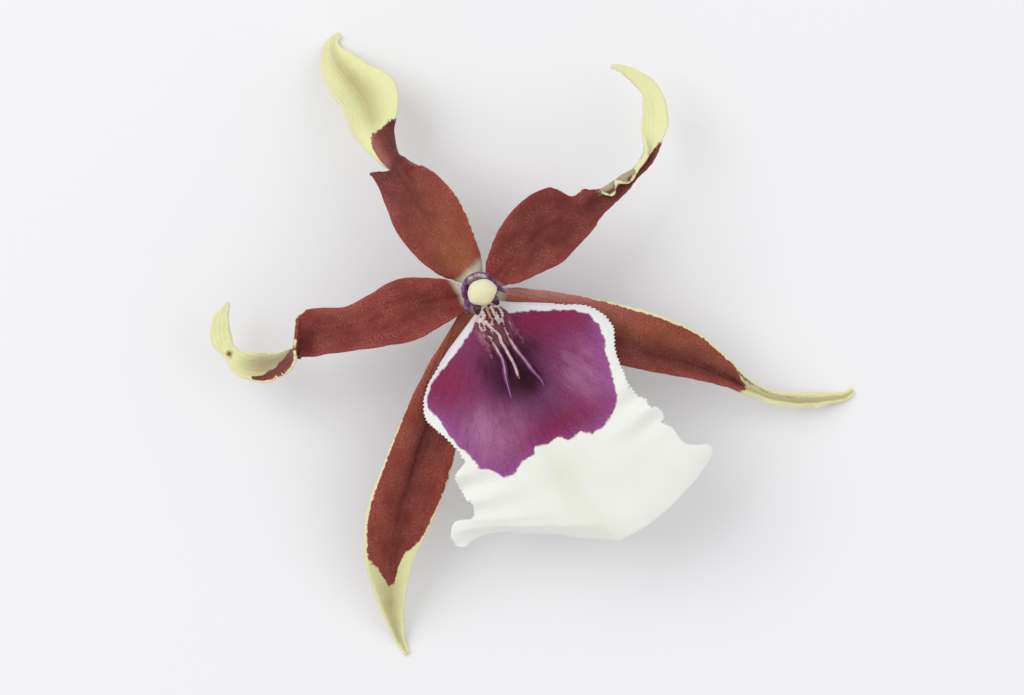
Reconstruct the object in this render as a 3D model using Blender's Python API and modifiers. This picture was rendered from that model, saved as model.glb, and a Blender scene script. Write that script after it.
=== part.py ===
"""Bloom of a spider-flowered orchid, picked with its stalk and lying on its back.

The flower faces up (+Z) and rests on the tips of its three sepals. The upright
(dorsal) sepal points along +Y and the lip along -Y. Sizes are millimetres until
a point becomes a mesh vertex, which is in metres. Points of the flower are
measured from its hub, the middle of the whorl just under the column.
"""

import math
from typing import NamedTuple

import bmesh
import bpy
from mathutils import Matrix, Vector

MM = 0.001

# Driving dimensions, in millimetres
HUB_HEIGHT = 16.8
HUB_X = -2.3
HUB_Y = 0.2
TEPAL_THICKNESS = 0.8
LIP_THICKNESS = 0.7
STEEPEST_WALL = 0.5
BLADE_COLUMNS = 8
SEPAL_ROWS_PER_STATION = 2
PETAL_ROWS_PER_STATION = 3
WAVE_CREST = 0.2
LIP_ROWS = 72
LIP_COLUMNS = 18
TOOTH_DEPTH = 0.55
RUFFLE_HEIGHT = 0.7
HEM_DROP = 1.4
PLEAT_DEPTH = 0.35
STALK_RIBS = 6
STALK_RIB_DEPTH = 0.08
TURNED_SEGMENTS = 20
TABLE_SIZE = (160.0, 160.0, 10.0)
TABLE_CENTRE = (0.0, 0.0, -5.0)
STIGMA_RADII = (1.5, 1.4, 1.6)
STIGMA_CENTRE = (-0.2, -2.5, 6.7)
NOTCH_SIZE = (4.2, 3.6, 3.0)
NOTCH_CENTRE = (-0.1, -3.1, 10.5)
POLLEN_RADII = (0.62, 0.8, 0.62)
POLLEN_CENTRES = [(-0.7, 0.1, 11.15), (0.4, 0.1, 11.15)]
POLLEN_STRAP = [(-0.2, -0.9, 9.6), (-0.2, -0.5, 10.2), (-0.2, 0.0, 10.9)]
POLLEN_STRAP_RADII = [0.4, 0.3, 0.4]

# Lean of the column's head and cap, in millimetres, and how oval the column is
HEAD_HEIGHT = 10.0
HEAD_LEAN_X = -0.35
HEAD_LEAN_Y = 0.15
COLUMN_OVAL = 0.95
CAP_RIM_HEIGHT = 11.0
CAP_RIM_FALL = 1.6
CAP_RIM_RADIUS = 2.5
CAP_SHIFT = -0.1
CAP_RIM_SHIFT = -0.2
CAP_FRONT_SWELL = 0.2
CAP_BEAK_REACH = 0.5

# Places along the lip, as shares of its length from the base, and across its halves
TOOTHED_START = 0.24
TOOTHED_END = 0.76
RUFFLE_MIDDLE = 0.64
RUFFLE_SPREAD = 0.09
RUFFLE_WAVES = 9.0
RUFFLE_RIGHT_PHASE = 1.3
HEM_LENGTH = 0.1
PLEAT_START = 0.5
PLEAT_GROWTH = 0.2
PLEAT_HALF_WIDTH = 0.09


class Station(NamedTuple):
    """Cross-section of a narrow blade, seen looking outward along it with its face up.

    x, y, z place the midrib. left and right are the two half-widths. roll turns the
    whole section about the midrib, crease lifts both halves from flat, and the curls
    bend each half along its width, towards the face if positive. Angles are degrees.
    wave is how far the left margin swings in and out, once from station to station.
    lead is how far the left margin runs ahead of the midrib, and the right one behind it.
    """

    x: float
    y: float
    z: float
    left: float
    right: float
    roll: float = 0.0
    crease: float = 0.0
    left_curl: float = 0.0
    right_curl: float = 0.0
    wave: float = 0.0
    lead: float = 0.0


class LipRow(NamedTuple):
    """One line across the lip from its left margin (-X) to its right margin (+X).

    Each side leaves the middle as the power bow of the distance: 1 is straight, more
    is round and less is hollow. left_lift draws the left side's outer half towards the
    hub. Each margin lies drop below the middle's height.
    """

    left_x: float
    left_y: float
    middle_x: float
    middle_y: float
    right_x: float
    right_y: float
    height: float
    left_drop: float
    right_drop: float
    left_bow: float = 1.6
    right_bow: float = 1.6
    left_lift: float = 0.0


DORSAL_SEPAL = [
    Station(-0.2, 2.3, -0.4, 1.9, 1.8),
    Station(-0.8, 4.6, 0.0, 3.1, 3.4, 0, 3, 4, 4),
    Station(-1.7, 7.6, 0.6, 4.5, 4.7, 0, 8, 6, 6),
    Station(-2.4, 11.5, 1.2, 5.5, 5.7, 0, 8, 0, 0),
    Station(-2.8, 16.0, 1.2, 6.0, 5.9, 0, 8, -12, -12),
    Station(-3.4, 20.6, 0.6, 5.4, 5.3, 0, 4, -24, -20),
    Station(-3.9, 23.8, -0.3, 4.5, 4.5, 0, 0, -20, -50),
    Station(-4.1, 25.9, -1.3, 4.6, 4.0, 0, -2, -30, -115),
    Station(-4.2, 27.4, -2.1, 4.0, 3.8, 0, -4, -140, -130),
    Station(-4.3, 29.4, -3.2, 3.4, 3.6, 0, -2, -70, -115),
    Station(-4.2, 31.8, -4.6, 3.9, 3.2, 0, 6, -30, -60),
    Station(-3.9, 34.6, -6.3, 4.7, 4.6, -4, 16, 6, -10),
    Station(-3.4, 38.2, -8.6, 5.7, 5.8, -6, 24, 20, 8),
    Station(-4.1, 42.4, -11.3, 4.8, 3.9, 0, 24, 20, 10),
    Station(-4.8, 45.8, -13.5, 3.6, 2.9, 0, 18, 20, 10),
    Station(-4.7, 48.4, -15.2, 2.0, 1.6, 0, 8, 12, 6),
    Station(-3.9, 49.9, -16.1, 0.9, 0.9),
    Station(-2.4, 50.4, -16.2, 0.5, 0.5),
]

PETAL_LEFT = [
    Station(-2.5, 0.3, 1.3, 1.6, 1.6),
    Station(-4.6, 0.7, 1.8, 2.9, 2.9, 0, 4, 6, 6),
    Station(-8.0, 1.6, 2.2, 4.2, 4.2, 0, 5, 4, 4),
    Station(-13.0, 2.6, 2.3, 5.4, 5.4, 0, 4, 0, -6),
    Station(-18.0, 3.2, 1.8, 4.7, 4.7, 0, 2, 0, -14),
    Station(-23.0, 4.1, 0.9, 4.0, 3.9, 0, 0, 0, -20),
    Station(-27.2, 5.4, -0.6, 3.9, 4.2, 0, 0, 0, -12, 0, 0.2),
    Station(-29.7, 5.8, -1.3, 3.8, 4.2, 8, 0, 0, 0, 0, 1.4),
    Station(-31.0, 5.3, -1.5, 3.3, 3.6, 34, 0, 0, 0, 0, 2.2),
    Station(-32.2, 4.6, -1.7, 2.7, 3.0, 68, 0, 0, 6, 0, 2.0),
    Station(-33.5, 4.1, -2.3, 2.1, 2.5, 108, 2, 2, 10, 0, 1.1),
    Station(-35.1, 3.9, -3.2, 1.8, 2.3, 142, 6, 6, 14, 0, 0.4),
    Station(-37.2, 4.1, -4.7, 1.9, 2.4, 166, 10, 10, 16),
    Station(-39.9, 5.0, -6.4, 2.5, 2.8, 180, 12, 10, 20),
    Station(-42.5, 6.9, -7.6, 2.0, 2.2, 180, 8, 10, 10),
    Station(-43.7, 9.6, -8.2, 1.4, 1.3, 180),
    Station(-43.9, 12.3, -8.2, 1.9, 1.9, 180),
    Station(-42.6, 15.1, -7.8, 1.5, 1.3, 180),
    Station(-40.0, 17.3, -7.2, 0.4, 0.4, 180),
]

PETAL_RIGHT = [
    Station(2.3, 0.4, 1.3, 1.6, 1.6),
    Station(4.4, 1.5, 1.8, 3.1, 3.3, 0, 5, 5, 5),
    Station(8.2, 2.8, 2.2, 5.1, 4.8, 0, 6, 4, 4),
    Station(13.0, 4.1, 2.3, 6.3, 6.0, 0, 6, -4, -4),
    Station(16.6, 4.6, 1.9, 6.4, 5.5, 0, 4, -8, -8),
    Station(19.0, 4.7, 1.5, 5.5, 4.8, 0, 2, -8, -8),
    Station(20.9, 4.8, 1.0, 3.0, 4.1, 0, 0, -8, -6),
    Station(22.8, 5.0, 0.4, 2.7, 3.2, 0, 0, 10, -4),
    Station(24.6, 5.0, -0.1, 2.4, 2.5, 0, 2, 70, 0),
    Station(26.2, 5.0, -0.5, 2.8, 1.9, 0, 4, 125, 0, 0.3),
    Station(28.8, 5.3, -1.3, 2.9, 1.4, 0, 6, 165, 0, 0.4),
    Station(32.4, 6.3, -2.5, 2.7, 0.9, 0, 10, 160, 0, 0.15),
    Station(35.4, 7.7, -3.5, 2.2, 0.8, 6, 14, 150, 0),
    Station(37.6, 9.8, -4.4, 1.9, 1.1, 10, 12, 50, 0),
    Station(39.2, 12.4, -5.2, 2.6, 2.0, 4, 8, 10, 0),
    Station(40.5, 15.4, -5.8, 2.1, 1.9, 0, 6, 10, 0),
    Station(41.0, 18.2, -6.0, 1.7, 1.5, 0, 4, 10, 0),
    Station(40.2, 20.8, -6.0, 1.3, 1.2, 0, 4, 10, 0),
    Station(38.6, 23.2, -5.8, 0.8, 0.8),
    Station(36.8, 25.0, -5.6, 0.4, 0.4),
]

LATERAL_SEPAL_LEFT = [
    Station(-1.8, -1.8, -0.4, 1.6, 1.6),
    Station(-3.9, -3.7, -0.2, 2.2, 2.2, 0, 4, 4, 4),
    Station(-7.0, -6.4, 0.0, 3.0, 2.8, 0, 8, 6, 6),
    Station(-12.6, -11.4, -0.4, 4.2, 4.0, 0, 12, -4, -6),
    Station(-18.4, -17.0, -1.4, 5.4, 4.8, 0, 14, -14, -16),
    Station(-24.2, -23.0, -2.8, 6.1, 5.5, 0, 14, -20, -20),
    Station(-29.6, -28.8, -4.9, 5.5, 6.0, 0, 14, -20, -20),
    Station(-33.8, -34.4, -7.8, 3.7, 5.1, 0, 12, -10, -10),
    Station(-36.6, -39.6, -10.8, 2.5, 3.3, 0, 8, 0, 0),
    Station(-38.4, -43.8, -13.2, 1.7, 1.8, 0, 6, 0, 0),
    Station(-39.2, -47.2, -15.2, 1.0, 1.1, 0, 4, 20, 0),
    Station(-39.4, -49.4, -16.1, 0.7, 0.7),
    Station(-39.4, -51.0, -16.2, 0.5, 0.5),
]

LATERAL_SEPAL_RIGHT = [
    Station(1.7, -1.9, -0.4, 1.6, 1.6),
    Station(4.2, -3.9, -0.2, 2.0, 2.2, 0, 4, 4, 4),
    Station(7.6, -6.6, 0.0, 2.6, 3.0, 0, 8, 6, 6),
    Station(12.6, -11.2, -0.4, 3.6, 4.4, 0, 12, -6, -4),
    Station(17.6, -16.6, -1.4, 4.9, 5.2, 0, 14, -16, -14),
    Station(22.4, -21.7, -2.6, 5.4, 4.4, 0, 14, -18, -20),
    Station(26.8, -26.3, -4.4, 5.0, 3.3, 8, 14, -16, -26),
    Station(30.5, -30.7, -6.6, 3.3, 2.1, 18, 14, -6, -26),
    Station(33.6, -34.9, -8.8, 1.8, 1.0, 36, 14, 14, -14),
    Station(36.8, -38.5, -11.0, 1.4, 0.7, 50, 14, 50, 0),
    Station(41.0, -41.4, -13.2, 1.4, 0.7, 50, 14, 80, 0),
    Station(45.6, -43.2, -15.0, 1.1, 0.7, 40, 8, 60, 0),
    Station(48.6, -43.9, -16.0, 0.7, 0.7, 12),
    Station(50.3, -43.7, -16.2, 0.5, 0.5),
]

LIP = [
    LipRow(-1.3, -2.3, 0.0, -2.3, 1.2, -2.3, 1.5, 0.0, 0.0),
    LipRow(-3.4, -3.4, -0.1, -4.0, 2.5, -3.3, 2.1, 0.0, 0.0),
    LipRow(-7.4, -5.4, -0.2, -6.8, 5.4, -4.9, 3.2, 0.6, 0.4),
    LipRow(-12.4, -8.2, -0.2, -10.6, 10.4, -7.4, 4.2, 1.8, 1.6),
    LipRow(-16.6, -11.4, -0.2, -14.2, 15.6, -10.6, 4.8, 2.8, 2.8),
    LipRow(-18.5, -15.4, -0.1, -18.0, 17.6, -14.9, 4.9, 2.8, 2.8),
    LipRow(-17.0, -19.2, 0.0, -21.8, 16.3, -18.8, 4.6, 1.8, 1.8),
    LipRow(-15.9, -23.8, 0.2, -25.6, 15.8, -23.0, 4.2, 1.0, 1.0),
    LipRow(-18.0, -27.6, 0.4, -29.6, 16.8, -27.6, 3.7, 0.6, 0.6),
    LipRow(-18.3, -31.4, 0.6, -33.8, 18.2, -31.2, 3.1, 0.4, 0.4),
    LipRow(-18.6, -33.9, 0.9, -38.0, 18.8, -34.6, 2.4, 0.0, 0.2, 2.0),
    LipRow(-21.4, -33.4, 1.2, -42.0, 20.2, -38.0, 1.6, -0.9, 0.0, 1.3, 1.6),
    LipRow(-23.0, -35.6, 1.5, -45.8, 22.6, -40.4, 0.8, -1.3, 0.0, 0.9, 1.8, 1.2),
    LipRow(-21.4, -38.0, 1.8, -48.8, 23.3, -42.4, -0.2, -1.2, 0.2, 0.8, 2.1, 1.9),
]

# Keels and teeth of the callus: points along each, then the radii at those points
CALLUS = {
    "keel_middle": ([(-0.6, -4.4, 2.0), (-0.6, -8.6, 4.3), (-0.8, -12.8, 5.4), (-0.9, -16.4, 6.4)],
                    [0.7, 0.6, 0.55, 0.3]),
    "keel_left": ([(-2.1, -6.6, 2.9), (-1.9, -10.4, 4.7), (-2.6, -14.6, 5.6), (-3.5, -19.0, 7.0)],
                  [0.7, 0.65, 0.7, 0.25]),
    "keel_right": ([(0.8, -6.6, 2.9), (0.8, -10.4, 4.7), (1.5, -14.6, 5.6), (2.5, -19.0, 7.0)],
                   [0.7, 0.65, 0.7, 0.25]),
    "tooth_left": ([(-2.6, -10.2, 4.2), (-3.0, -11.4, 5.6), (-3.2, -12.4, 6.8)], [0.9, 0.65, 0.25]),
    "tooth_right": ([(1.5, -10.2, 4.2), (1.9, -11.4, 5.6), (2.1, -12.4, 6.8)], [0.9, 0.65, 0.25]),
}

# Lobes round the column's head: points along each, then the radii at those points
COLUMN_LOBES = {
    "wing_left": ([(-2.75, -0.2, 8.9), (-3.35, -1.4, 8.9), (-3.9, -2.7, 8.3)], [0.5, 0.6, 0.25]),
    "wing_right": ([(2.15, -0.5, 8.9), (2.85, -1.4, 8.9), (3.5, -2.4, 8.4)], [0.5, 0.55, 0.25]),
    "lobe_left": ([(-1.5, -1.4, 8.1), (-2.1, -2.6, 8.1), (-2.5, -3.5, 7.5)], [0.8, 0.7, 0.3]),
    "lobe_right": ([(0.9, -1.4, 8.1), (1.2, -2.6, 8.1), (1.4, -3.5, 7.5)], [0.8, 0.7, 0.3]),
    "beak": ([(-0.1, -1.2, 8.2), (-0.1, -2.2, 8.4), (-0.1, -3.2, 8.1)], [0.7, 0.55, 0.25]),
}

# Turned outlines as radius and height, down the outer side
COLUMN_PROFILE = [
    (0.0, 8.9), (1.9, 8.9), (2.4, 9.3), (2.6, 10.2), (2.95, 10.1), (3.0, 9.2), (2.75, 8.0),
    (2.2, 6.6), (1.95, 5.0), (2.0, 3.6), (2.5, 2.6), (2.5, 2.3), (1.3, 2.3), (1.3, -0.9), (0.0, -0.9),
]
CAP_PROFILE = [
    (0.0, 13.6), (1.0, 13.4), (1.9, 12.7), (2.4, 11.9), (2.6, 11.0), (2.25, 10.1), (2.0, 9.4),
    (1.4, 9.4), (1.65, 10.1), (1.95, 11.0), (1.75, 11.8), (1.3, 12.4), (0.7, 12.8), (0.0, 12.95),
]
STALK_POINTS = [
    (0.0, 0.0, -1.6), (0.0, -0.2, -4.0), (0.0, -1.8, -8.2), (0.1, -5.4, -11.6), (0.3, -11.0, -13.6),
    (0.7, -18.5, -14.4), (1.3, -27.0, -14.8), (1.9, -36.0, -14.9),
]
STALK_RADII = [2.5, 2.1, 2.0, 1.95, 1.8, 1.6, 1.4, 1.45]

TEPAL_RED = (0.22, 0.045, 0.045)
LIP_WHITE = (0.85, 0.86, 0.82)
COLUMN_PURPLE = (0.23, 0.05, 0.22)
CAP_CREAM = (0.84, 0.79, 0.50)
POLLEN_YELLOW = (0.80, 0.52, 0.08)
STALK_GREEN = (0.22, 0.25, 0.08)


def clear_scene():
    """Remove every object that the file starts with."""
    for item in list(bpy.data.objects):
        bpy.data.objects.remove(item, do_unlink=True)


def new_collection(name):
    """Add a collection to the scene."""
    collection = bpy.data.collections.new(name)
    bpy.context.scene.collection.children.link(collection)
    return collection


def petal_material(name, colour, roughness):
    """A Principled material in one colour."""
    material = bpy.data.materials.new(name)
    material.use_nodes = True
    shader = material.node_tree.nodes["Principled BSDF"]
    shader.inputs["Base Color"].default_value = (*colour, 1.0)
    shader.inputs["Roughness"].default_value = roughness
    shader.inputs["Metallic"].default_value = 0.0
    return material


def smooth_values(rows, position):
    """Catmull-Rom blend of equally long rows of numbers at a position counted in rows."""
    last = len(rows) - 1
    index = min(int(position), last - 1)
    step = position - index
    here, after = rows[index], rows[index + 1]
    before = rows[index - 1] if index > 0 else [2 * a - b for a, b in zip(here, after)]
    beyond = rows[index + 2] if index + 2 <= last else [2 * b - a for a, b in zip(here, after)]
    blended = []
    for a, b, c, d in zip(before, here, after, beyond):
        square = (2 * a - 5 * b + 4 * c - d) * step ** 2
        cube = (3 * b - a - 3 * c + d) * step ** 3
        blended.append(0.5 * (2 * b + (c - a) * step + square + cube))
    return blended


def section_frame(stations, position, roll):
    """Unit vectors across the blade, towards its left, and out of its face."""
    reach = 0.05
    start = Vector(smooth_values(stations, max(position - reach, 0.0))[:3])
    end = Vector(smooth_values(stations, min(position + reach, len(stations) - 1))[:3])
    heading = (end - start).normalized()
    across = Vector((0.0, 0.0, 1.0)).cross(heading).normalized()
    turn = Matrix.Rotation(math.radians(-roll), 3, heading)
    return turn @ across, turn @ heading.cross(across)


def half_section(reach, width, crease, curl):
    """Distance across and height of a point on one half, bent to a circular arc."""
    start = math.radians(crease)
    bend = math.radians(curl)
    if abs(bend) < 0.001:
        return reach * width * math.cos(start), reach * width * math.sin(start)
    out = (math.sin(start + bend * reach) - math.sin(start)) / bend
    lift = (math.cos(start) - math.cos(start + bend * reach)) / bend
    return out * width, lift * width


def blade_point(stations, along, across):
    """Point of a blade's face: along runs 0 to 1, across -1 (right) to 1 (left)."""
    position = along * (len(stations) - 1)
    station = Station(*smooth_values(stations, position))
    side, face = section_frame(stations, position, station.roll)
    reach = abs(across)
    if across > 0:
        width, curl = station.left, station.left_curl
        swing = math.cos(math.tau * (position - WAVE_CREST))
        reach += station.wave / width * reach ** 6 * swing
    else:
        width, curl = station.right, station.right_curl
    out, lift = half_section(reach, width, station.crease, curl)
    middle = Vector((station.x, station.y, station.z)) + side.cross(face) * station.lead * across
    return middle + side * math.copysign(out, across) + face * lift


def lip_point(along, across):
    """Point of the lip's face: along runs 0 to 1, across -1 (left margin) to 1 (right margin)."""
    row = LipRow(*smooth_values(LIP, along * (len(LIP) - 1)))
    reach = abs(across)
    if across > 0:
        edge_x, edge_y, drop, bow, lift = row.right_x, row.right_y, row.right_drop, row.right_bow, 0.0
    else:
        edge_x, edge_y, drop, bow = row.left_x, row.left_y, row.left_drop, row.left_bow
        lift = row.left_lift * math.sin(math.pi * reach ** 2.4)
    x = row.middle_x + (edge_x - row.middle_x) * reach
    y = row.middle_y + (edge_y - row.middle_y) * reach ** bow + lift
    z = row.height - drop * reach ** 2.5 + lip_ruffle(along, across) - lip_hem(along, across)
    return Vector((x, y, z)) + lip_tooth(along, across)


def lip_ruffle(along, across):
    """Height of the waves that grow towards the lip's margins, strongest past its waist."""
    strength = math.exp(-((along - RUFFLE_MIDDLE) / RUFFLE_SPREAD) ** 2) * abs(across) ** 4
    phase = RUFFLE_RIGHT_PHASE if across > 0 else 0.0
    return RUFFLE_HEIGHT * strength * math.sin(math.tau * RUFFLE_WAVES * along + phase)


def lip_hem(along, across):
    """Depth of the steep lower left hem and of the shallow pleat down the middle."""
    near_edge = max(1.0 - (1.0 - along) / HEM_LENGTH, 0.0)
    left_side = min(max(-across, 0.0), 1.0)
    hem = HEM_DROP * near_edge ** 1.5 * math.sin(math.pi * left_side) ** 0.5
    grown = min(max((along - PLEAT_START) / PLEAT_GROWTH, 0.0), 1.0)
    pleat = PLEAT_DEPTH * grown * math.exp(-(across / PLEAT_HALF_WIDTH) ** 2)
    return hem + pleat


def lip_tooth(along, across):
    """Step inward of every second point along the toothed part of the margin."""
    toothed = TOOTHED_START < along < TOOTHED_END
    row = round(along * LIP_ROWS)
    if abs(across) < 0.999 or not toothed or row % 2 == 0:
        return Vector()
    return Vector((-math.copysign(TOOTH_DEPTH, across), 0.0, 0.0))


def sheet(name, rows, columns, point):
    """Open surface: a grid whose vertices move to point(along, across)."""
    mesh = bpy.data.meshes.new(name)
    bm = bmesh.new()
    bmesh.ops.create_grid(bm, x_segments=rows, y_segments=columns, size=1.0)
    for vertex in bm.verts:
        vertex.co = point((vertex.co.x + 1.0) / 2.0, vertex.co.y) * MM
    bm.to_mesh(mesh)
    bm.free()
    mesh.shade_smooth()
    return bpy.data.objects.new(name, mesh)


def thicken(piece, thickness):
    """Give a sheet its thickness behind its face, with both sides split alike."""
    piece.modifiers.new("split", "TRIANGULATE")
    wall = piece.modifiers.new("thickness", "SOLIDIFY")
    wall.thickness = thickness * MM
    wall.offset = -1.0
    wall.use_even_offset = False


def thicken_down(piece, thickness):
    """Close a sheet by a back straight below it, so that tight folds keep clear of each other."""
    bm = bmesh.new()
    bm.from_mesh(piece.data)
    bmesh.ops.triangulate(bm, faces=bm.faces)
    bm.normal_update()
    back = list(bm.verts)
    depths = [thickness * MM / max(vertex.normal.z, STEEPEST_WALL) for vertex in back]
    bmesh.ops.extrude_face_region(bm, geom=bm.faces[:])
    for vertex, depth in zip(back, depths):
        vertex.co.z -= depth
    bm.to_mesh(piece.data)
    bm.free()


def add_boolean(piece, other, operation):
    """Cut or join a piece by another object with the exact solver."""
    step = piece.modifiers.new(operation.lower(), "BOOLEAN")
    step.operation = operation
    step.object = other
    step.solver = "EXACT"


def real_mesh(piece):
    """Replace an object by a plain mesh of its evaluated shape, with its caps welded."""
    bpy.context.view_layer.update()
    depsgraph = bpy.context.evaluated_depsgraph_get()
    mesh = bpy.data.meshes.new_from_object(piece.evaluated_get(depsgraph))
    bm = bmesh.new()
    bm.from_mesh(mesh)
    bmesh.ops.remove_doubles(bm, verts=bm.verts, dist=0.00001)
    bmesh.ops.recalc_face_normals(bm, faces=bm.faces)
    bm.to_mesh(mesh)
    bm.free()
    solid = bpy.data.objects.new(piece.name + "_solid", mesh)
    solid.matrix_world = piece.matrix_world.copy()
    for collection in piece.users_collection:
        collection.objects.link(solid)
    name = piece.name
    bpy.data.objects.remove(piece, do_unlink=True)
    solid.name = name
    return solid


def tapered_tube(name, points, radii, collection, profile=None):
    """A round or profiled tube along smooth points, as a welded mesh."""
    curve = bpy.data.curves.new(name, "CURVE")
    curve.dimensions = "3D"
    curve.resolution_u = 3
    curve.use_fill_caps = True
    if profile is None:
        curve.bevel_depth = MM
        curve.bevel_resolution = 1
    else:
        curve.bevel_mode = "OBJECT"
        curve.bevel_object = profile
    spline = curve.splines.new("BEZIER")
    spline.bezier_points.add(len(points) - 1)
    for knot, point, radius in zip(spline.bezier_points, points, radii):
        knot.co = Vector(point) * MM
        knot.radius = radius
        knot.handle_left_type = "AUTO"
        knot.handle_right_type = "AUTO"
    tube = bpy.data.objects.new(name, curve)
    collection.objects.link(tube)
    return real_mesh(tube)


def turned_solid(name, profile, collection):
    """A solid turned about Z from a profile of radii and heights."""
    mesh = bpy.data.meshes.new(name)
    points = [(radius * MM, 0.0, height * MM) for radius, height in profile]
    edges = [(index, index + 1) for index in range(len(points) - 1)]
    mesh.from_pydata(points, edges, [])
    piece = bpy.data.objects.new(name, mesh)
    collection.objects.link(piece)
    screw = piece.modifiers.new("turn", "SCREW")
    screw.steps = TURNED_SEGMENTS
    screw.render_steps = TURNED_SEGMENTS
    screw.use_merge_vertices = True
    screw.merge_threshold = 0.00001
    screw.use_smooth_shade = True
    return real_mesh(piece)


def move_vertices(piece, shift):
    """Move every vertex, given and returned in millimetres."""
    for vertex in piece.data.vertices:
        vertex.co = shift(vertex.co / MM) * MM


def hide_cutter(piece):
    """Mark a construction object so that it isn't part of the flower."""
    piece.hide_render = True
    piece.display_type = "WIRE"


def helper_solid(name, add_shape, size, centre, cutters):
    """Block or ball of a size at a centre, in millimetres, for cutting or joining."""
    mesh = bpy.data.meshes.new(name)
    bm = bmesh.new()
    add_shape(bm)
    bmesh.ops.scale(bm, vec=Vector(size) * MM, verts=bm.verts)
    bmesh.ops.translate(bm, vec=Vector(centre) * MM, verts=bm.verts)
    bm.to_mesh(mesh)
    bm.free()
    piece = bpy.data.objects.new(name, mesh)
    cutters.objects.link(piece)
    hide_cutter(piece)
    return piece


def unit_block(bm):
    """Add a cube of side one."""
    bmesh.ops.create_cube(bm, size=1.0)


def unit_ball(bm):
    """Add a ball of radius one."""
    bmesh.ops.create_uvsphere(bm, u_segments=16, v_segments=10, radius=1.0)


def join_lobes(piece, lobes, cutters):
    """Join tapered lobes to a piece, and apply the union."""
    for name, (points, radii) in lobes.items():
        lobe = tapered_tube(name, points, radii, cutters)
        add_boolean(piece, lobe, "UNION")
    solid = real_mesh(piece)
    for name in lobes:
        bpy.data.objects.remove(bpy.data.objects[name], do_unlink=True)
    return solid


def make_tepal(name, stations, rows_per_station, collection):
    """One sepal or petal as a thin curved blade."""
    rows = (len(stations) - 1) * rows_per_station
    piece = sheet(name, rows, BLADE_COLUMNS, lambda along, across: blade_point(stations, along, across))
    thicken(piece, TEPAL_THICKNESS)
    collection.objects.link(piece)
    return piece


def make_lip(collection, cutters):
    """The lip's toothed and ruffled blade with the callus on its face."""
    piece = sheet("lip", LIP_ROWS, LIP_COLUMNS, lip_point)
    thicken_down(piece, LIP_THICKNESS)
    collection.objects.link(piece)
    return join_lobes(piece, CALLUS, cutters)


def lean_column(point):
    """Oval section and a slight lean of the column's head."""
    bend = (max(point.z, 0.0) / HEAD_HEIGHT) ** 2
    return Vector((point.x + HEAD_LEAN_X * bend, point.y * COLUMN_OVAL + HEAD_LEAN_Y * bend, point.z))


def make_column(collection, cutters, hub):
    """The column: a club with a cup for the cap, side lobes and the stigma's hollow.

    The cup's front is cut away under the beak of the cap.
    """
    piece = turned_solid("column", COLUMN_PROFILE, collection)
    move_vertices(piece, lean_column)
    piece = join_lobes(piece, COLUMN_LOBES, cutters)
    hollow = helper_solid("stigma_hollow", unit_ball, STIGMA_RADII, STIGMA_CENTRE, cutters)
    notch = helper_solid("cup_notch", unit_block, NOTCH_SIZE, NOTCH_CENTRE, cutters)
    for cutter in (hollow, notch):
        cutter.parent = hub
        add_boolean(piece, cutter, "DIFFERENCE")
    return piece


def shape_cap(point):
    """Lean of the cap with the column's cup, drawn out to a beak over the lip."""
    low = min(max((CAP_RIM_HEIGHT - point.z) / CAP_RIM_FALL, 0.0), 1.0)
    front = max(-point.y, 0.0) / CAP_RIM_RADIUS
    swell = (CAP_FRONT_SWELL + CAP_BEAK_REACH * low) * front ** 3
    return Vector((point.x + CAP_SHIFT + CAP_RIM_SHIFT * low, point.y - swell, point.z))


def make_cap(collection):
    """The anther cap: a thin dome, open below."""
    piece = turned_solid("anther_cap", CAP_PROFILE, collection)
    move_vertices(piece, shape_cap)
    return piece


def make_pollinarium(collection, cutters):
    """Two pollen masses on their strap, under the cap."""
    piece = tapered_tube("pollinarium", POLLEN_STRAP, POLLEN_STRAP_RADII, collection)
    for centre in POLLEN_CENTRES:
        mass = helper_solid("pollen_mass", unit_ball, POLLEN_RADII, centre, cutters)
        add_boolean(piece, mass, "UNION")
        piece = real_mesh(piece)
        bpy.data.objects.remove(mass, do_unlink=True)
    return piece


def ribbed_outline(cutters):
    """Closed ribbed outline of the ovary, one millimetre in radius."""
    curve = bpy.data.curves.new("ribbed_outline", "CURVE")
    curve.dimensions = "2D"
    sides = STALK_RIBS * 3
    spline = curve.splines.new("POLY")
    spline.points.add(sides - 1)
    for index, knot in enumerate(spline.points):
        angle = math.tau * index / sides
        radius = (1.0 + STALK_RIB_DEPTH * math.cos(STALK_RIBS * angle)) * MM
        knot.co = (radius * math.cos(angle), radius * math.sin(angle), 0.0, 1.0)
    spline.use_cyclic_u = True
    outline = bpy.data.objects.new("ribbed_outline", curve)
    cutters.objects.link(outline)
    hide_cutter(outline)
    return outline


def make_stalk(collection, cutters):
    """The ribbed ovary and its stalk, bent from under the flower along the surface."""
    return tapered_tube("pedicel", STALK_POINTS, STALK_RADII, collection, ribbed_outline(cutters))


def dress(piece, colour, roughness, hub):
    """Give a piece its material and hang it on the hub."""
    piece.data.materials.clear()
    piece.data.materials.append(petal_material(piece.name, colour, roughness))
    piece.parent = hub


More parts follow.
